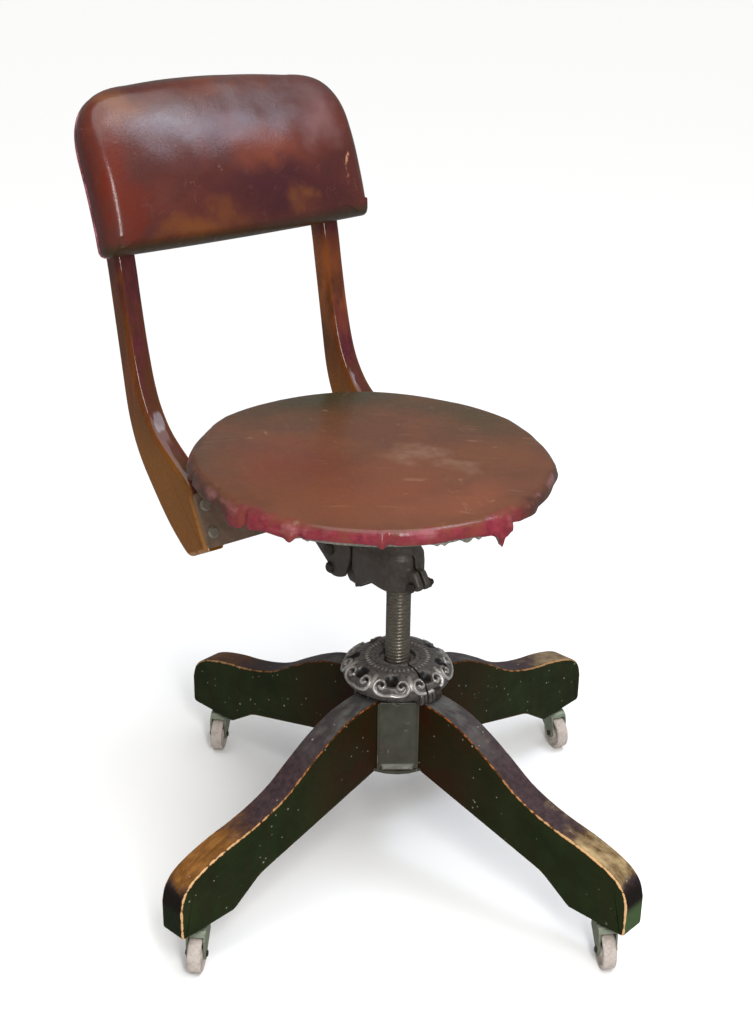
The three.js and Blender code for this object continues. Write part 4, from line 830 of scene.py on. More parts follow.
rivet_steel = worn_metal("rubbed_steel_rivets", "#7d766c", "#948c80", "#b8b0a6", 0.4, 4.0, 0.05, 0.3)
zinc_plate = worn_metal("zinc_plated_steel", "#68705f", "#8a917e", "#cfd3c9", 0.5, 6.0, 0.05, 0.35,
                        rust="#5f5a48", rusted=0.45)
bronze = worn_metal("cast_bronze", "#5f4626", "#86663a", "#c9a468", 0.4, 5.0, 0.05, 0.85)

# %% Metal pieces


def dress(finish, *names):
    for name in names:
        frame["nodes"][name].data.materials.clear()
        frame["nodes"][name].data.materials.append(finish)
    print(finish.name, "on", len(names), "pieces")


each = range(1, 5)
dress(hub_iron, "hub_casting", "hub_base_plate")
dress(bronze, "guide_bush", "thrust_washer")
dress(cast_iron, "adjusting_ring", "seat_spider", "back_yoke")
dress(strap_steel, "back_crossbar")
dress(rivet_steel, "yoke_rivet_left", "yoke_rivet_right", *(f"foot_bolt_{i}" for i in each))
dress(mild_steel, "spindle", "recline_spring", "clamp_screw", "pinch_bolt", "pinch_nut", "pivot_bolt", "tie_bolt")
dress(mild_steel, *(f"{kind}_{i}" for kind in ("seat_screw", "panel_screw") for i in each))
dress(mild_steel, *(f"{kind}_{n}" for kind in ("leg_screw", "caster_socket", "caster_axle") for n in LEG_NAMES))
dress(zinc_plate, *(f"caster_fork_{n}" for n in LEG_NAMES))

# %% [markdown]
# Sand castings have no sharp edges: the pattern is rounded so that it leaves the sand, and
# corners inside are filled. A Bevel modifier would round the outer edges only, and would trip
# over the crossing faces. So the hub, head and yoke are skinned afresh over their measured
# solids at a fine grid, and then smoothed until each edge is round and each corner filleted.


# %% Sand castings
def make_casting(node_name, name, grid, rounds, finish, body):
    mesh = frame["nodes"][node_name].data.copy()
    mesh.materials.clear()
    mesh.materials.append(finish)
    raw = bpy.data.objects.new(name + "_raw", mesh)
    bpy.context.scene.collection.objects.link(raw)
    sand = raw.modifiers.new("sand", "REMESH")
    sand.mode = "VOXEL"
    sand.voxel_size = grid * MM
    fettled = raw.modifiers.new("fettled", "SMOOTH")
    fettled.factor = 0.5
    fettled.iterations = rounds
    ready = raw.evaluated_get(bpy.context.evaluated_depsgraph_get())
    cast = bpy.data.meshes.new_from_object(ready)
    bpy.data.objects.remove(raw)
    cast.shade_smooth()
    piece = bpy.data.objects.new(name, cast)
    bpy.context.scene.collection.objects.link(piece)
    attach(piece, body)
    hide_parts(node_name)
    print(name, len(cast.vertices), "points")


make_casting("hub_casting", "hub_cast", 1.2, 5, hub_iron, "base")
make_casting("seat_spider", "seat_head_cast", 1.2, 12, cast_iron, "seat")
make_casting("back_yoke", "back_yoke_cast", 1.1, 7, cast_iron, "back")

# %% [markdown]
# ## The ring nut
#
# The ring is a hand wheel and a nut in one. Eight cups are scooped out of its shoulder, each
# with a pair of scrolls beside it, in the taste of old shop fittings, and a circle of long
# beads runs round its flat top. It could be sculpted by hand, but eight lobes would never come
# out alike. So the scrolls are drawn once, as a curve in the plane of the shoulder, and the
# iron is raised wherever it is near that curve.

# %% Ring sizes
ring_low, ring_high = (corner.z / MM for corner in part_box("adjusting_ring"))
ring_base, ring_top = ring_high - 30, 30.2
ring_bore, ring_shank = 13.8, 17.3
split_half = 1.2
clamp_reach, clamp_level = 57.0, ring_base + 7.8
clamp_turn = Matrix.Rotation(math.radians(-95), 3, "Z")
lobe_count, lobe_phase = 8, math.radians(-39)
bead_count, bead_reach, bead_size = 44, 33.6, (2.9, 1.5)
print("ring from", round(ring_low, 1), "to", round(ring_high, 1), "mm,", lobe_count, "lobes,", bead_count, "beads")

# %% Ring ornament
SCROLL = smooth_line([
    (0, 1.5), (7, 0.6), (14.5, 3.2), (17.6, 10), (14.4, 16.6), (8.6, 16.4), (6.4, 11.8), (9.4, 8.4), (12.6, 10.6),
], 48)


def scroll_height(u, v):
    """Rise of the rim at u mm beside a lobe's middle and v mm above the rim's widest line."""
    u = abs(u)
    near = min(math.hypot(u - a, v - b) for a, b in SCROLL)
    strand = max(0.0, 1 - (near / 2.1) ** 2)
    cup = max(0.0, 1 - (u / 9) ** 2) * max(0.0, 1 - ((v - 19) / 9.5) ** 2)
    eye = max(0.0, 1 - (math.hypot(u - 11, v - 12.6) / 5.2) ** 2)
    knuckle = max(0.0, 1 - ((u - 20.4) / 3.4) ** 2) * max(0.0, 1 - ((v - 15) / 11) ** 2)
    return 2.3 * max(strand, 0.8 * knuckle) - 4.2 * cup - 2.4 * eye * (1 - strand)


def bead_height(angle, reach):
    step = 2 * math.pi / bead_count
    along_ring = ((angle / step) % 1 - 0.5) * step * reach
    away = ((reach - bead_reach) / bead_size[0]) ** 2 + (along_ring / bead_size[1]) ** 2
    return 1.2 * math.sqrt(max(0.0, 1 - away))


print("highest bead", bead_height(math.pi / bead_count, bead_reach), "mm")

# %% [markdown]
# The section runs from the bore out under the ring, round the rim, over the shoulder and the
# flat top, and down the collar into the bore again. Each step says how far it is above the
# rim's widest line, where the scrolls are drawn, or that it is plain or beaded.

# %% Ring section
PLAIN, BEADED = -9, 99


def ring_section():
    """(radius, height, way above the rim's widest line) round the ring's section."""
    under = [(ring_bore, ring_low - ring_base), (ring_shank, ring_low - ring_base), (ring_shank, 0)]
    under += smooth_line([(40, 0), (44, 0.3), (50, 1.8), (55.4, 4.8), (58.8, 8.6), (60, 13)], 12)
    shoulder = smooth_line([
        (60, 13), (59.2, 17.2), (56.6, 21.4), (52, 25.2), (46.5, 28.1), (42.4, 29.7), (39.4, ring_top),
    ], 40)
    rows = [(r, z, PLAIN) for r, z in under]
    way = 0.0
    for (r0, z0), (r, z) in zip(shoulder, shoulder[1:]):
        way += math.hypot(r - r0, z - z0)
        rows.append((r, z, way))
    rows += [(38.8 - 0.66 * k, ring_top, BEADED) for k in range(17)]
    collar = [(27.6, 0.5), (26.8, 0.5), (26.2, 0), (24, 0), (23.3, 0.2)]
    collar += arc_between([(23.0, 0.4), (22.2, 1.4), (20.2, 1.2)], 6)
    collar += [(19.2, -0.6), (18.8, -2.6), (ring_bore + 0.9, -3.0), (ring_bore, -3.8)]
    return rows + [(r, ring_top + z, PLAIN) for r, z in collar]


print("ring section of", len(ring_section()), "steps")

# %% [markdown]
# The ring is split, and a screw draws its two lugs together. So its skin doesn't close on
# itself: it starts and ends at the faces of the split. Beside the lug the rim is cut back to
# leave room for the screw's head.

# %% Ring body
shoulder_reach = 52
head_room, head_from, head_to = 7.8, 9.0, 19.6


def make_ring():
    rows, steps, lobe_step = ring_section(), 520, 2 * math.pi / lobe_count
    rings, raised = [], []
    for i in range(steps + 1):
        loop = []
        for j, (reach, z, way) in enumerate(rows):
            gap = math.asin(split_half / reach)
            angle = gap + (2 * math.pi - 2 * gap) * i / steps
            rise = 0.0
            if way == BEADED:
                rise = bead_height(angle, reach)
                z += rise
            elif way >= 0:
                before, after = rows[j - 1], rows[(j + 1) % len(rows)]
                out = Vector((after[1] - before[1], before[0] - after[0])).normalized()
                beside = (((angle - lobe_phase) / lobe_step + 0.5) % 1 - 0.5) * lobe_step * shoulder_reach
                rise = scroll_height(beside, way)
                reach, z = reach + out.x * rise, z + out.y * rise
            down = abs(z + ring_base - clamp_level)
            on_screw_side = head_from < reach * math.sin(angle) < head_to and reach * math.cos(angle) > 30
            if on_screw_side and down < head_room:
                reach = min(reach, (clamp_reach - math.sqrt(head_room ** 2 - down ** 2)) / math.cos(angle))
            turned = Vector((reach * math.cos(angle), reach * math.sin(angle), z + ring_base))
            loop.append(tuple(clamp_turn @ turned))
            raised.append(float(rise))
        rings.append(loop)
    return skin(rings, first="flat", last="flat"), raised


ring_shape, raised = make_ring()
print("ornament from", round(min(raised), 1), "to", round(max(raised), 1), "mm")

# %% [markdown]
# Each lug is a small plank, rounded like a casting, that stands on one side of the split. Both
# are joined to the ring in one mesh, as they are one casting.

# %% Ring lugs
lug_root, lug_end, lug_round, lug_thickness = 46, 64, 6, 7.8


def joined(*shapes):
    points, faces = [], []
    for some_points, some_faces in shapes:
        start = len(points)
        points += some_points
        faces += [tuple(i + start for i in face) for face in some_faces]
    return points, faces


def make_lug(way):
    low, high = clamp_level - 7.5, ring_base + 15
    face = lug_end - lug_round
    outline = [(lug_root, low), (face, low)]
    outline += arc_between([(face, low), (lug_end, low), (lug_end, low + lug_round)], 5)[1:]
    outline += arc_between([(lug_end, low + lug_round), (lug_end, high), (face, high)], 6)[1:] + [(lug_root, high)]
    rings = []
    for shape, across, _ in plank(outline, lug_thickness, 1.2, shoulder=1.0, turns=4):
        aside = way * (split_half + lug_thickness / 2) + across
        rings.append([tuple(clamp_turn @ Vector((r, aside, z))) for r, z in shape])
    return skin(rings, first="flat", last="flat")


ring_shape = joined(ring_shape, make_lug(1), make_lug(-1))
raised += [0.0] * (len(ring_shape[0]) - len(raised))
make_piece("lobed_ring_nut", ring_shape, ring_iron, "collar", ["adjusting_ring"],
           {"raised": raised}, sharp=50)

# %% [markdown]
# ## The height screw
#
# A square-shouldered thread winds up the spindle, 4 mm from crest to crest. A bump would show
# it too, but its outline against the light would stay straight. So it is drawn as a skin whose
# radius depends on height and angle together, which is what a thread is. It runs out in the
# last 3 mm at each end.

# %% Threaded spindle
def make_spindle():
    low, high = (corner.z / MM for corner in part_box("spindle"))
    radius = (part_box("spindle")[1].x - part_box("spindle")[0].x) / 2 / MM
    pitch, depth, sides, row_height = 4.0, 1.0, 44, 0.45
    rows = int((high - low) / row_height)
    rings = []
    for k in range(rows + 1):
        z = low + (high - low) * k / rows
        ring = []
        for i in range(sides):
            angle = 2 * math.pi * i / sides
            phase = (z / pitch - i / sides) % 1
            cut = max(0.0, 1 - abs(phase - 0.5) / 0.32)
            r = radius - depth * min(1.0, 1.6 * cut) * min(1, (high - z) / 3, (z - low) / 3)
            ring.append((r * math.cos(angle), r * math.sin(angle), z))
        rings.append(ring)
    shape = skin(rings, first=(0, 0, low), last=(0, 0, high))
    make_piece("threaded_spindle", shape, screw_steel, "seat", ["spindle"], sharp=60)


make_spindle()

# %% [markdown]
# A coil spring sits between the seat's iron head and the yoke, and carries a person who leans
# back. It is one wire wound round, with its ends closed up flat as on a bought spring.

# %% Tube along a path


def tube(path, radius, sides=10, closed=False):
    rings, count, side = [], len(path), None
    for i, point in enumerate(path):
        before = Vector(path[i - 1] if closed or i else path[0])
        after = Vector(path[(i + 1) % count] if closed or i + 1 < count else path[-1])
        along = (after - before).normalized()
        if side is None:
            side = along.orthogonal().normalized()
        side = (side - along * side.dot(along)).normalized()
        other = along.cross(side)
        rings.append([
            tuple(Vector(point) + radius * (math.cos(t) * side + math.sin(t) * other))
            for t in (2 * math.pi * k / sides for k in range(sides))
        ])
    if closed:
        return skin(rings + rings[:1])
    return skin(rings, first=tuple(path[0]), last=tuple(path[-1]))


print("a straight tube of one length has", len(tube([(0, 0, 0), (0, 0, 10)], 1)[1]), "faces")


# %% Recline spring
def make_spring():
    low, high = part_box("recline_spring")
    middle = ((low.x + high.x) / 2 / MM - swivel.x, (low.y + high.y) / 2 / MM - swivel.y)
    wire, coils, steps = 1.6, 6.0, 168
    reach = (high.x - low.x) / 2 / MM - wire - 0.1
    foot, head = low.z / MM + wire + 0.15, high.z / MM - wire - 0.15
    path = []
    for k in range(steps + 1):
        share = k / steps
        angle = 2 * math.pi * coils * share
        rise = share - 0.45 * math.sin(2 * math.pi * share) / (2 * math.pi)
        path.append((middle[0] + reach * math.cos(angle), middle[1] + reach * math.sin(angle),
                     foot + (head - foot) * rise))
    piece = make_piece("recline_spring_coil", tube(path, wire), mild_steel, None, ["recline_spring"])
    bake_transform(piece)


make_spring()

# %% [markdown]
# ## Oilcloth
#
# Oilcloth is cotton with many coats of coloured oil, which dry to a glossy, slightly crazed
# film. So the shader has a coloured ground with a fine crackle 1.7 mm apart, and a clear coat
# over it. The coat is smoother than the cloth and has a relief of its own, with only the wider
# creases in it, 4 mm apart; one relief for both would kill the sheen.

# %% Oilcloth


def oilcloth(name, pattern, roughness, coat, specular):
    """pattern gives the colour, and how much duller than the rest the film is at each place."""
    material, tree = new_finish(name, Coat_Weight=coat, Coat_Roughness=0.2, Specular_IOR_Level=specular)
    where = node(tree, "TexCoord", out="Object")
    colour, dull = pattern(tree, where)
    cells = node(tree, "TexVoronoi", {"Vector": where, "Scale": 1 / (1.7 * MM)}, out="Distance",
                 feature="DISTANCE_TO_EDGE")
    crackle = node(tree, "MapRange", cells, 0, 0.12, **EASED)
    crease = node(tree, "TexNoise", {"Vector": where, "Scale": 1 / (5 * MM), "Detail": 6, "Roughness": 0.7,
                                     "Distortion": 1.2})
    height = node(tree, "Math", node(tree, "Math", crackle, 0.35, **TIMES), crease, **PLUS)
    smears = node(tree, "TexNoise", {"Vector": where, "Scale": 1 / (9 * MM), "Detail": 4})
    rough = node(tree, "MapRange", smears, 0.35, 0.65, roughness - 0.06, roughness + 0.1, **EASED)
    rough = node(tree, "Math", rough, dull, use_clamp=True, **PLUS)
    wrinkle = node(tree, "TexNoise", {"Vector": where, "Scale": 1 / (4 * MM), "Detail": 2, "Distortion": 1.5})
    film = node(tree, "Bump", {"Height": wrinkle, "Distance": 0.13 * MM, "Strength": 1.0})
    tree.links.new(film, tree.nodes["Principled BSDF"].inputs["Coat Normal"])
    return surfaced(material, colour, height, 0.35, rough)


# %% [markdown]
# Years of use stain a cover unevenly: here it is faded, there it is darkened by hands. Each
# stain is a soft spot whose border a noise bends, so that none looks round, and the painted
# sheen, highlights, shade and reflections are laid as such spots too. Its place is a share of
# the panel: from -1 to 1 across, and upward from 0 to 1 on the back or rearward from -1 to 1 on
# the seat.

# %% Stains


def spot(tree, panel, x, y, reach_x, reach_y, warp=0.5, soft=1.0):
    widest = max(reach_x, reach_y, 1)
    field = node(tree, "TexNoise", {"Vector": panel, "Scale": 3.5 / widest, "Detail": 3}, out="Color")
    push = node(tree, "VectorMath", field, (0.5, 0.5, 0.5), **LESS)
    push = node(tree, "VectorMath", push, {"Scale": warp * widest}, operation="SCALE")
    away = node(tree, "VectorMath", node(tree, "VectorMath", panel, push, **PLUS), (x, y, 0), **LESS)
    away = node(tree, "VectorMath", away, (reach_x, reach_y, 1), operation="DIVIDE")
    far = node(tree, "VectorMath", away, out="Value", operation="LENGTH")
    return node(tree, "MapRange", far, 1 - soft, 1, 1, 0, **EASED)


print("finishes so far:", len(bpy.data.materials))


# %% [markdown]
# The back is red brown, lighter where a sitter's shoulders rub, with a painted highlight at its
# upper left corner and a painted sheen at its right, darker in the painted shade of the middle
# and of the boxed side, with a painted grey sheen over its upper face, where the film is also a
# little duller, a dark olive line at its foot and crest, and one scuff by the right edge.

# %% Colours of the back
# place on the panel, reach, colour, share
BACK_STAINS_AND_PAINTED_LIGHT = [
    (-0.86, 0.5, 0.2, 0.65, "#611a02", 0.95),
    # the paler brown at the upper left corner is a painted highlight
    (-0.78, 0.9, 0.34, 0.18, "#7c4a28", 0.7),
    (0.1, 0.97, 0.6, 0.1, "#6f3720", 0.6),
    (0.22, 0.5, 0.42, 0.22, "#703320", 0.8),
    # the grey pink at the right is a painted sheen
    (0.7, 0.62, 0.22, 0.26, "#7d5a58", 0.6),
    # the dark maroon low in the middle is painted shade
    (0.25, 0.25, 0.95, 0.24, "#3b1319", 0.9),
    (-0.35, 0.12, 0.45, 0.13, "#6e3b14", 0.9),
    (0.42, 0.17, 0.14, 0.09, "#6b3c1a", 0.7),
]


def back_colours(tree, where):
    panel = node(tree, "Attribute", out="Vector", attribute_name="panel")
    _, rise, boxed = node(tree, "SeparateXYZ", panel).node.outputs
    fine = cloud(tree, where, 7, 0.35, 0.65, detail=5, seed=3.0)
    colour = coats(tree, "#4a1f18", ("#56251b", cloud(tree, where, 55, 0.38, 0.62, seed=1.0)))
    for *place, stain, share in BACK_STAINS_AND_PAINTED_LIGHT:
        colour = coats(tree, colour, (stain, spot(tree, panel, *place), share))
    # the grey haze is a painted sheen of the window light, in swirls; where it lies the film is also a little duller
    sheen_and_dull_film_right = node(tree, "Math", spot(tree, panel, 0.3, 0.8, 0.85, 0.24, warp=0.3), 0.75, **TIMES)
    sheen_and_dull_film = node(tree, "Math", spot(tree, panel, -0.38, 0.7, 0.38, 0.25, warp=0.3), sheen_and_dull_film_right, **MOST)
    sheen_swirl = cloud(tree, where, 14, 0.3, 0.7, stretch=(1, 1, 1.6), detail=6, seed=5.5)
    sheen_swirl = node(tree, "MapRange", sheen_swirl, 0, 1, 0.45, 1, **EASED)
    foot = node(tree, "MapRange", rise, 0.1, 0.03, **EASED)
    crest = node(tree, "Math", node(tree, "MapRange", rise, 0.96, 1, **EASED), 0.6, **TIMES)
    scuff = spot(tree, panel, 0.82, 0.32, 0.022, 0.085, soft=0.5)
    # the boxed side gets a darker maroon, which is painted shade
    colour = coats(tree, colour, ("#625759", sheen_and_dull_film, sheen_swirl, 0.75), ("#4a1a1b", boxed, 0.8),
                   ("#302812", node(tree, "Math", foot, crest, **MOST), 0.85),
                   ("#b07c5c", scuff, node(tree, "MapRange", fine, 0.2, 0.6, **EASED), 0.9),
                   ("#8f7468", scratches(tree, where, 11, 0.5, 4.0, width=0.01), 0.3))
    return colour, node(tree, "Math", sheen_and_dull_film, 0.1, **TIMES)


back_cloth = oilcloth("oilcloth_of_the_back", back_colours, 0.34, 0.65, 0.14)

# %% [markdown]
# ## Cushion of the back
#
# The pad is a box cushion: a boxed edge, a crisp turn onto the face, and a low crown, all in
# one piece of oilcloth drawn round a board. A cloth simulation would find such a shape by
# itself, but not these corners: the left one is fuller than the right. So the outline is
# drawn as curves, with its points at even distances so that the faces stay even too.

# %% Cushion outline
cushion_height, cushion_start = 176.0, 38.0
cushion_thickness, cushion_crown = 32.0, 12.0
board_thickness, cover_gap = 7.0, 0.3
cushion_rear = -cover_gap - board_thickness - cover_gap


def evenly(outline, count):
    """The closed outline as count points at even distances."""
    lengths = [0.0]
    loop = outline + [outline[0]]
    for a, b in zip(loop, loop[1:]):
        lengths.append(lengths[-1] + (Vector(b) - Vector(a)).length)
    spaced = []
    k = 0
    for i in range(count):
        goal = lengths[-1] * i / count
        while lengths[k + 1] < goal:
            k += 1
        span = max(lengths[k + 1] - lengths[k], 1e-9)
        spaced.append(tuple(Vector(loop[k]).lerp(Vector(loop[k + 1]), (goal - lengths[k]) / span)))
    return spaced


def cushion_outline(count):
    x, foot = cushion_width / 2, 9.0
    (right, high), (left, higher) = (66.0, cushion_height - 7), (78.0, cushion_height + 1)
    right_side = arc_between([(x - 4, 0), (x, 0), (x, 4)], 6)
    right_top = arc_between([(x, high - right), (x, high - right / 3), (x - right / 3, high), (x - right, high)], 14)
    crest = arc_between([(x - right, high), (0, cushion_height + 9), (left - x, higher)], 16)[1:-1]
    left_top = arc_between([
        (left - x, higher), (left / 3 - x, higher), (-x, higher - left / 3), (-x, higher - left),
    ], 14)
    left_side = arc_between([(-x, foot), (-x, 0), (foot - x, 0)], 6)
    return evenly([(0, 0)] + right_side + right_top + crest + left_top + left_side, count)


print("cushion", cushion_width, "by", cushion_height, "mm, on a board", board_thickness, "mm thick")

# %% [markdown]
# From the board outward the outline is drawn in by real distances, first hardly and then in a
# round turn, which makes the boxed edge. On the face it shrinks to the middle, where the crown
# is highest. Low on the face the pad bellies a little, as its filling has sunk.

# %% Cushion surface
# inset from the outline in mm, share of the thickness, nearness to the boxed side
EDGE_STEPS = [(5.0, 0.0, 1), (1.5, 0.03, 1), (0.4, 0.1, 1), (0.0, 0.2, 1), (0.0, 0.32, 1)]
turn_in, turn_steps = 19, 12
for k in range(1, turn_steps + 1):
    swing = k / turn_steps * math.pi / 2
    EDGE_STEPS.append((turn_in * (1 - math.cos(swing)), 0.34 + 0.66 * math.sin(swing), max(0.0, 1 - k / 5)))


def pad_point(x, rise, share):
    """Over a place in the outline: share is 0 on the board and 1 on the face."""
    share_up = max(0.0, min(1.0, rise / cushion_height))
    across, upward = min(1.0, abs(2 * x / cushion_width)), min(1.0, abs(2 * share_up - 1))
    crown = ((1 - across ** 2.6) * (1 - upward ** 2.6)) ** 0.8 * share
    thickness = cushion_thickness * (1 - 0.4 * share_up ** 3)
    belly = 4 * share * (1 - share_up) ** 3 * (1 - across ** 2)
    lump = 0.7 * noise.noise(Vector((x, rise, 0)) / 34) * min(1.0, share)
    y, z = on_bend(cushion_start + rise - belly,
                   cushion_rear - thickness * share - cushion_crown * crown - lump)
    return (x, y, z)


middle_of_face = pad_point(0, cushion_height / 2, 1.0)
print("the face's middle is", round(middle_of_face[1]), "mm behind the axis,", round(middle_of_face[2]), "mm up")

# %% Back cushion


def make_back_cushion():
    count, steps, half = 260, 26, cushion_height / 2
    outline = cushion_outline(count)
    rows = [(drawn_in(outline, inset) if inset else outline, share, side) for inset, share, side in EDGE_STEPS]
    inner = rows[-1][0]
    for s in (1 - k / steps for k in range(1, steps)):
        rows.append(([(x * s, half + (rise - half) * s) for x, rise in inner], 1.0, 0))
    rings = [[pad_point(x, rise, share) for x, rise in shape] for shape, share, _ in rows]
    points, faces = skin(rings, last=pad_point(0, half, 1.0))
    points.append(pad_point(0, half, 0.0))
    faces += [(i, (i + 1) % count, len(points) - 1) for i in range(count)]
    panel = [(2 * x / cushion_width, rise / cushion_height, float(side))
             for shape, _, side in rows for x, rise in shape]
    panel += [(0.0, 0.5, 0.0), (0.0, 0.5, 1.0)]
    return make_piece("back_cushion_cover", (points, faces), back_cloth, "back",
                      ["back_cushion"], {"panel": panel}, sharp=60)


make_back_cushion()

# %% [markdown]
# A cord of cloth, the welt, hides where the cover meets the board at the back of the cushion.
# It stands out, so it is rubbed to a paler pink than the rest. A bevelled curve could make it,
# and a tube along the cushion's own outline keeps it on the bend of the back.

# %% Welt
welt_inset, welt_radius = 0.9, 1.7


def welt_colours(tree, where):
    rubbed = cloud(tree, where, 16, 0.42, 0.6, seed=2.0)
    colour = coats(tree, "#4a1a20", ("#6b2c30", cloud(tree, where, 5, 0.35, 0.65, detail=4)),
                   ("#b5707a", rubbed, 0.7))
    return colour, node(tree, "Math", rubbed, 0.1, **TIMES)


welt_cloth = oilcloth("oilcloth_welt", welt_colours, 0.35, 0.3, 0.15)
welt_path = [(x, *on_bend(cushion_start + rise, cushion_rear - welt_inset))
             for x, rise in drawn_in(cushion_outline(240), welt_inset)]
make_piece("back_cushion_welt", tube(welt_path, welt_radius, closed=True), welt_cloth, "back")

# %% [markdown]
# ## Cover of the seat
#
# The seat is a round board under a thin pad, with oilcloth pulled over its rim and tacked
# underneath. The cloth can't follow a round rim without pleats, so between its tacks the rim
# is a row of short chords, with folded pleats where the photograph shows them and one torn
# corner at the front that hangs down. A simulated cloth would fold at other places each time;
# a table of folds puts them where they are on this seat.

# %% Seat sizes
seat_low, seat_high = (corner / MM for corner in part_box("seat_cushion"))
seat_middle = ((seat_low.x + seat_high.x) / 2 - swivel.x, (seat_low.y + seat_high.y) / 2 - swivel.y)
seat_half = ((seat_high.x - seat_low.x) / 2, (seat_high.y - seat_low.y) / 2)
seat_top = seat_high.z
crown_rise = 6.0
rim_top = seat_top - crown_rise
board_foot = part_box("seat_board")[0].z / MM
print("seat", round(2 * seat_half[0]), "by", round(2 * seat_half[1]), "mm, top at", round(seat_top))

# %% Folds of the rim
# angle in degrees, how far the edge hangs below its usual place, how far the rim stands out
FOLDS = [
    (-180, 1, 0), (-176.5, 4, 2), (-173, 9.5, 4), (-169.5, 8.5, 3), (-167.5, 4, -2.5), (-166, 5.5, 2.5),
    (-160, 3, 1), (-154, 3.5, 1.5), (-151.2, 5.5, 4.5), (-149.2, 1, -3), (-147, 0.5, 0.5), (-141, -1, 1),
    (-132, -1, 0.3), (-126.5, -0.5, 1.2), (-124.6, 2.5, 3.8), (-122.6, 0, -2), (-119, 0.5, 0.6),
    (-110, 1, 0.4), (-103, 0, 0), (-97, 1, 0.6), (-91.5, 3, 3), (-89, 6, 5), (-87.4, 18, 6), (-86, 9, 5.5),
    (-83, 6, 4.5), (-80.8, 1, -2.5), (-78, 1.5, 0.6), (-70, 3, 1.2), (-66, 1, -0.8), (-58, 0.5, 1),
    (-50, 1, -0.6), (-41, 2, 1.6), (-37, 0, -1.5), (-24, 1, 0.8), (-14, 2.5, 2), (-10, 0, -1.5), (5, 1, 0.8),
    (19, 2.5, 2), (23, 0, -1.6), (38, 1, 0.6), (52, 2, 1.8), (56, 0, -1.5), (70, 1, 0.7), (86, 2.5, 2),
    (90, 0, -1.6), (104, 1, 0.8), (118, 2, 2), (122, 0, -1.6), (136, 1, 1), (150, 1.5, 1.2),
    (156.5, 1, 1.5), (158.5, 0, -2.5), (161, 1, 1.2), (171, 1.5, 1),
]


def fold_at(angle):
    """Hang and stand of the rim at an angle, eased from one fold to the next."""
    for (a, hang_a, out_a), (b, hang_b, out_b) in zip(FOLDS, FOLDS[1:] + [(180,) + FOLDS[0][1:]]):
        if a <= angle <= b:
            t = (angle - a) / (b - a)
            t = t * t * (3 - 2 * t)
            return hang_a + (hang_b - hang_a) * t, out_a + (out_b - out_a) * t
    return 0.0, 0.0


print(len(FOLDS), "folds, the deepest hangs", max(hang for _, hang, _ in FOLDS), "mm")

# %% [markdown]
# Below the torn edge shows the cotton lining, grey and frayed, so its hem is ragged with a
# noise. The rim itself turns tightly where the cloth is stretched at the front.

# %% Lining, chords and turn
# angles between which the grey lining shows under the torn edge, and how far it hangs
LININGS = [(-172, -163, 5.5), (-150, -143, 4.0), (-113, -88, 5.0), (-81, -62, 3.5)]
edge_level = board_foot + 4.0
# the cover is drawn tight between its tacks, so the round is faintly many-sided: angle, rise
CHORDS = [(-180, 0), (-160, 0), (-110, 0.5), (-72, 0), (-57, -1.2), (-38, 2.6), (-20, -1.8), (-1, 2.8), (28, -1.6),
          (56, 2.2), (84, -1.4), (111, 2.6), (128, -1.2), (147, 1.6), (165, -0.6), (180, 0)]


def chord_at(angle):
    for (a, rise_a), (b, rise_b) in zip(CHORDS, CHORDS[1:]):
        if a <= angle <= b:
            t = (angle - a) / (b - a)
            # a corner is sharper than the middle of a chord
            t = t ** 0.8 if rise_a > rise_b else 1 - (1 - t) ** 0.8
            return rise_a + (rise_b - rise_a) * t
    return 0.0


def lining_at(angle):
    hang = 0.0
    for start, end, drop in LININGS:
        middle, half = (start + end) / 2, (end - start) / 2
        hang = max(hang, drop * max(0.0, 1 - (abs(angle - middle) / half) ** 4))
    t = math.radians(angle)
    ragged = noise.noise(Vector((math.cos(t) * 31, math.sin(t) * 31, 2)))
    return hang * (1 + 0.9 * ragged)


def turn_radius(angle):
    """The rim turns tightly where the cloth is stretched at the front, and softly elsewhere."""
    stretched = max(0.0, 1 - (abs(angle + 122) / 30) ** 4)
    return 12.0 - 5.0 * stretched


print("linings hang up to", max(drop for _, _, drop in LININGS), "mm; the rim turns on",
      turn_radius(-122), "to", turn_radius(60), "mm")

# %% [markdown]
# The cover is a skin of rings again, from the hem under the board, out round the torn edge,
# up the skirt, over the turn and in to the middle. Each ring has an inset from the rim and a
# level, which are one number or one for each angle; how much it follows the folds; how much
# it belongs to the skirt; and whether it is lining.

# %% Rings of the seat cover
rim_angles = [360 * i / 900 - 180 for i in range(900)]
crown_steps = 24


def crown_level(angle, s):
    """Level of the padded top, at a share s of the way from the middle out to the turn."""
    t = math.radians(angle)
    soft = noise.noise(Vector((s * math.cos(t) * 2.4, s * math.sin(t) * 2.4, 7)))
    return rim_top + 0.35 + (crown_rise - 0.6) * (1 - s ** 2.2) + 0.9 * soft * min(1.0, 3 * (1 - s))


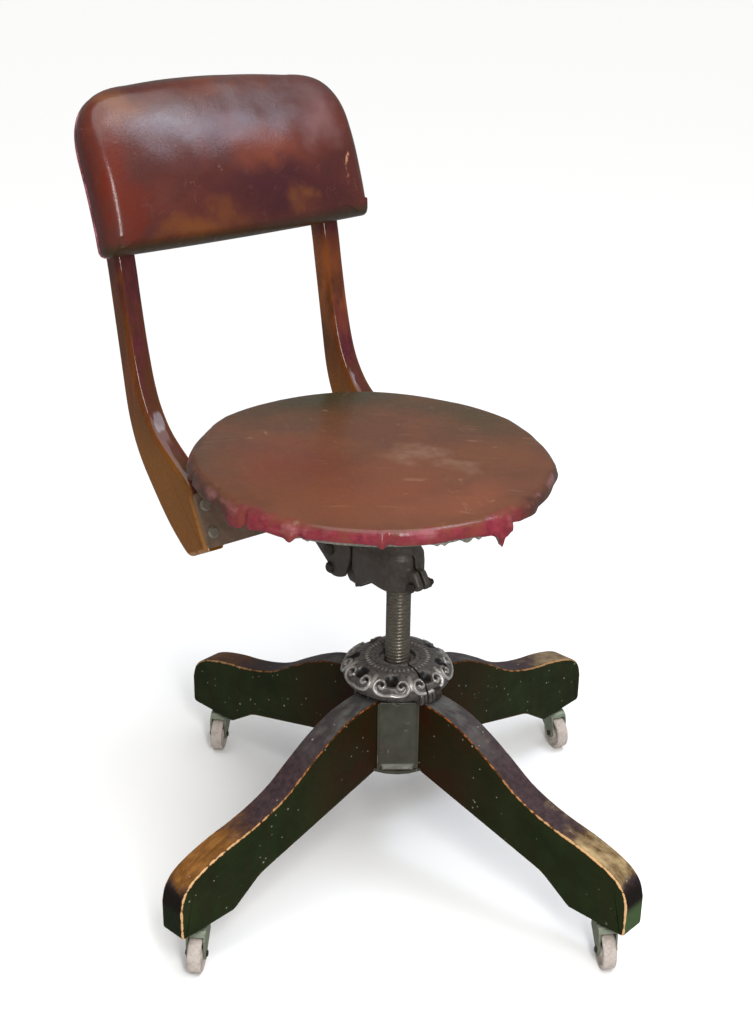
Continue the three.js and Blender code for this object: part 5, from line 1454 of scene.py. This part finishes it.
def cover_rows():
    """(inset, level, share of the folds, share of the skirt, share of the lining) for each ring."""
    edges = [edge_level - fold_at(angle)[0] for angle in rim_angles]
    hems = [min(edge + 1.0, edge_level + 1.0 - lining_at(a)) for edge, a in zip(edges, rim_angles)]
    turns = [turn_radius(angle) for angle in rim_angles]
    under, torn = board_foot - 0.9, [edge + 0.1 for edge in edges]
    rows = [
        (26.0, under, 0.0, 1.0, 1.0), (14.0, under - 0.3, 0.3, 1.0, 1.0), (8.0, under - 0.3, 0.5, 1.0, 1.0),
        (4.0, [min(hem, under + 2.0) for hem in hems], 0.8, 1.0, 1.0), (2.6, hems, 0.9, 1.0, 1.0),
        (2.1, [max(hem, edge + 0.9) for hem, edge in zip(hems, edges)], 0.9, 1.0, 1.0),
        (1.0, torn, 1.0, 1.0, 0.0), (0.3, torn, 1.0, 1.0, 0.0),
    ]
    for up in (0.06, 0.2, 0.4, 0.6, 0.8, 1.0):
        level = [edge + 0.6 + (rim_top - turn - edge - 0.6) * up for edge, turn in zip(edges, turns)]
        rows.append((-0.5 * math.sin(math.pi * up), level, 1.0 - 0.45 * up ** 2, 1.0 - 0.25 * up, 0.0))
    for k in range(1, 9):
        cos, sin = math.cos(k / 8 * math.pi / 2), math.sin(k / 8 * math.pi / 2)
        level = [rim_top - turn * (1 - sin) - 0.4 * (1 - sin) for turn in turns]
        inset = [turn * (1 - cos) for turn in turns]
        rows.append((inset, level, 0.55 - 0.4 * sin, 0.75 * (1 - k / 8) + 0.12, 0.0))
    rows.append((15.0, rim_top + 0.35, 0.08, 0.05, 0.0))
    for s in (1 - k / crown_steps for k in range(1, crown_steps)):
        level = [crown_level(angle, s) for angle in rim_angles]
        rows.append((seat_half[0] - (seat_half[0] - 15) * s, level, 0.0, 0.0, 0.0))
    return rows


# %% Shape of the seat cover


def make_seat_cover():
    outs = [fold_at(angle)[1] for angle in rim_angles]
    chords = [chord_at(angle) for angle in rim_angles]
    rings, panel, lining = [], [], []
    for insets, levels, fold_share, skirt, hem in cover_rows():
        ring = []
        for i, angle in enumerate(rim_angles):
            inset = insets[i] if isinstance(insets, list) else insets
            level = levels[i] if isinstance(levels, list) else levels
            away = inset - outs[i] * fold_share - chords[i] * max(0.0, 1 - inset / 60)
            t = math.radians(angle)
            x, y = (seat_half[0] - away) * math.cos(t), (seat_half[1] - away) * math.sin(t)
            ring.append((seat_middle[0] + x, seat_middle[1] + y, level))
            panel.append((x / seat_half[0], y / seat_half[1], skirt))
            lining.append(hem)
        rings.append(ring)
    shape = skin(rings, last=(*seat_middle, seat_top - 0.3))
    return shape, {"panel": panel + [(0.0, 0.0, 0.0)], "lining": lining + [0.0]}


seat_shape, seat_traits = make_seat_cover()
print("seat cover of", len(seat_shape[1]), "faces")

# %% [markdown]
# The seat's oilcloth is a browner red, olive and dark at the rear and the right, where it is a
# painted reflection of the dim room, with scuffs and thin scratches before the middle. Round the
# rim a crimson coat shows, which the top has lost, and it is pink where the rim turns, from wear
# and a painted highlight. The lining is grey cotton with a mottle 2.5 mm wide.

# %% Colours of the seat
# place on the panel, reach, colour, share
SEAT_STAINS_AND_REFLECTION = [
    (-0.3, -0.45, 0.8, 0.5, "#754029", 0.75),
    (-0.5, 0.1, 0.45, 0.5, "#6c3526", 0.75),
    # the dark olive at the rear and the right is a painted reflection of the dim room
    (0.35, 0.85, 1.1, 0.65, "#36321d", 0.95),
    (0.85, 0.15, 0.5, 0.75, "#45371f", 0.9),
    (-0.8, 0.6, 0.4, 0.45, "#4e3c2c", 0.85),
    (0.0, -0.78, 0.75, 0.2, "#7c4630", 0.7),
    (0.05, 0.35, 0.22, 0.4, "#5d3a25", 0.7),
]


def seat_colours(tree, where):
    panel = node(tree, "Attribute", out="Vector", attribute_name="panel")
    lining = node(tree, "Attribute", out="Fac", attribute_name="lining")
    sideways, rearward, skirt = node(tree, "SeparateXYZ", panel).node.outputs
    fine = cloud(tree, where, 8, 0.35, 0.65, detail=5, seed=3.0)
    colour = coats(tree, "#5f3a28", ("#6a3f28", cloud(tree, where, 70, 0.38, 0.62, seed=2.0)))
    for *place, stain, share in SEAT_STAINS_AND_REFLECTION:
        colour = coats(tree, colour, (stain, spot(tree, panel, *place, warp=0.45), share))
    scuff = node(tree, "Math", spot(tree, panel, 0.2, -0.2, 0.26, 0.15, warp=0.6, soft=0.8),
                 spot(tree, panel, 0.24, -0.45, 0.14, 0.22, warp=0.6, soft=0.9), **MOST)
    scuff = node(tree, "Math", scuff, node(tree, "MapRange", fine, 0, 1, 0.5, 1, **EASED), **TIMES)
    lines = node(tree, "Math", scratches(tree, where, 19, 0.35, 4.0, width=0.008),
                 scratches(tree, where, 31, -0.9, 8.0, width=0.007), **MOST)
    # the rim: crimson at the front left, dark elsewhere, pink on the turn from wear and a painted highlight
    patchy = node(tree, "Math", cloud(tree, where, 16, 0.3, 0.7, seed=5.0), 0.5, **TIMES)
    rim = node(tree, "MapRange", node(tree, "Math", skirt, patchy, **PLUS), 0.35, 1, **EASED)
    elsewhere = node(tree, "Math", node(tree, "MapRange", sideways, 0.12, 0.32, **EASED),
                     node(tree, "MapRange", rearward, -0.22, -0.02, **EASED), **MOST)
    turn_wear_and_highlight = node(tree, "Math", node(tree, "MapRange", skirt, 0.3, 0.6, **EASED),
                   node(tree, "MapRange", skirt, 0.9, 0.65, **EASED), **TIMES)
    crimson = coats(tree, "#6a1b29", ("#842b3a", fine),
                    ("#77382a", cloud(tree, where, 24, 0.45, 0.65, seed=8.0), 0.7), ("#3a2a1a", elsewhere, 0.85),
                    ("#b4777b", turn_wear_and_highlight, cloud(tree, where, 26, 0.5, 0.7, seed=1.3), 0.5))
    cotton = coats(tree, "#4b4740", ("#8b887e", cloud(tree, where, 2.5, 0.3, 0.7, detail=4, seed=2.0)))
    colour = coats(tree, colour, ("#8a6a57", scuff, 0.5), ("#9c765f", lines, 0.4),
                   ("#a0846c", specks(tree, where, 15, 0.9, 0.12, 4.0), 0.5),
                   (crimson, rim, 0.95), (cotton, lining))
    return colour, node(tree, "Math", scuff, 0.12, **TIMES)


seat_cloth = oilcloth("oilcloth_of_the_seat", seat_colours, 0.36, 0.5, 0.1)
seat_pad = make_piece("seat_cover", seat_shape, seat_cloth, "seat", ["seat_cushion"],
                      seat_traits, sharp=70)

# %% [markdown]
# ## Boards
#
# The seat board and the outside back are plywood: thin layers, with a plain brown varnish on
# the back board and bare wood under the seat. Both are mostly hidden, so they keep their
# measured solids and only get a finish, whose grain is drawn long across the chair.

# %% Plywood


def plywood(name, light, dark, roughness):
    material, tree = new_finish(name, Roughness=roughness)
    where = node(tree, "TexCoord", out="Object")
    across = (0.07, 1, 1)
    rays = cloud(tree, where, 5, 0.3, 0.7, stretch=across, detail=6)
    figure = cloud(tree, where, 40, 0.4, 0.62, stretch=across, seed=6.0)
    knots = specks(tree, where, 24, 1.2, 0.15, 1.0)
    colour = coats(tree, dark, (light, rays), (dark, figure, 0.5), ("#2a1a10", knots, 0.5))
    return surfaced(material, colour, rays, 0.1)


dress(plywood("bare_birch_plywood", "#a17a4c", "#7b5632", 0.75), "seat_board")
dress(plywood("stained_plywood", "#5b3320", "#3a2014", 0.4), "back_panel")

# %% [markdown]
# ## Caster wheels
#
# The wheels are narrow and pale, a hard rubber gone chalky and pinkish grey, with rounded
# treads and dished sides. Rubber scatters light and hardly shines, so it is rough with a
# relief of 0.15 mm, and dirt lies in patches of 9 mm.

# %% Chalky rubber


def chalky_rubber():
    material, tree = new_finish("chalky_hard_rubber", Roughness=0.7)
    where = node(tree, "TexCoord", out="Object")
    fine = cloud(tree, where, 3, 0.3, 0.7, detail=5)
    dirt = cloud(tree, where, 9, 0.5, 0.68, seed=3.0)
    return surfaced(material, coats(tree, "#a79b92", ("#beb3aa", fine), ("#8d8272", dirt, 0.6)), fine, 0.15)


wheel_rubber = chalky_rubber()

# %% [markdown]
# A wheel is turned, so half its profile is drawn, mirrored, and carried round the axle. Its
# tread stays a tenth of a millimetre inside the measured wheel, which is 40 mm across.

# %% Wheels
half_width, widest, solid_sides = 7.0, 19.9, 18


def make_wheel(name):
    axis = Vector(joints["wheel_roll_" + name]["axis"]).normalized()
    hub = Vector(joints["wheel_roll_" + name]["pos_m"]) / MM
    radius, sides = hub.z / math.cos(math.pi / solid_sides), 48  # the solid stands on a flat side
    # (radius, inset from the side) from the hub to the middle of the tread
    profile = [(2.4, 0), (6.0, 0), (6.8, 0.5), (7.4, 2.0), (15.6, 2.0), (16.4, 0.6), (17.2, 0), (radius - 1.6, 0),
               (radius - 0.5, 0.6), (radius, 2.2)]
    profile = [(r, inset - half_width) for r, inset in profile]
    profile += [(r, -z) for r, z in reversed(profile)]
    turn_to = Vector((0, 0, 1)).rotation_difference(axis).to_matrix().to_4x4()
    place = Matrix.Translation(Vector((hub.x - swivel.x, hub.y - swivel.y, hub.z))) @ turn_to
    angles = [2 * math.pi * i / sides for i in range(sides)]
    rings = [
        [tuple(place @ Vector((min(r, widest) * math.cos(t), min(r, widest) * math.sin(t), z))) for t in angles]
        for r, z in profile
    ]
    make_piece("rubber_wheel_" + name, skin(rings + rings[:1]), wheel_rubber, "wheel_" + name,
               ["caster_wheel_" + name], sharp=50)


for name in LEG_NAMES:
    make_wheel(name)
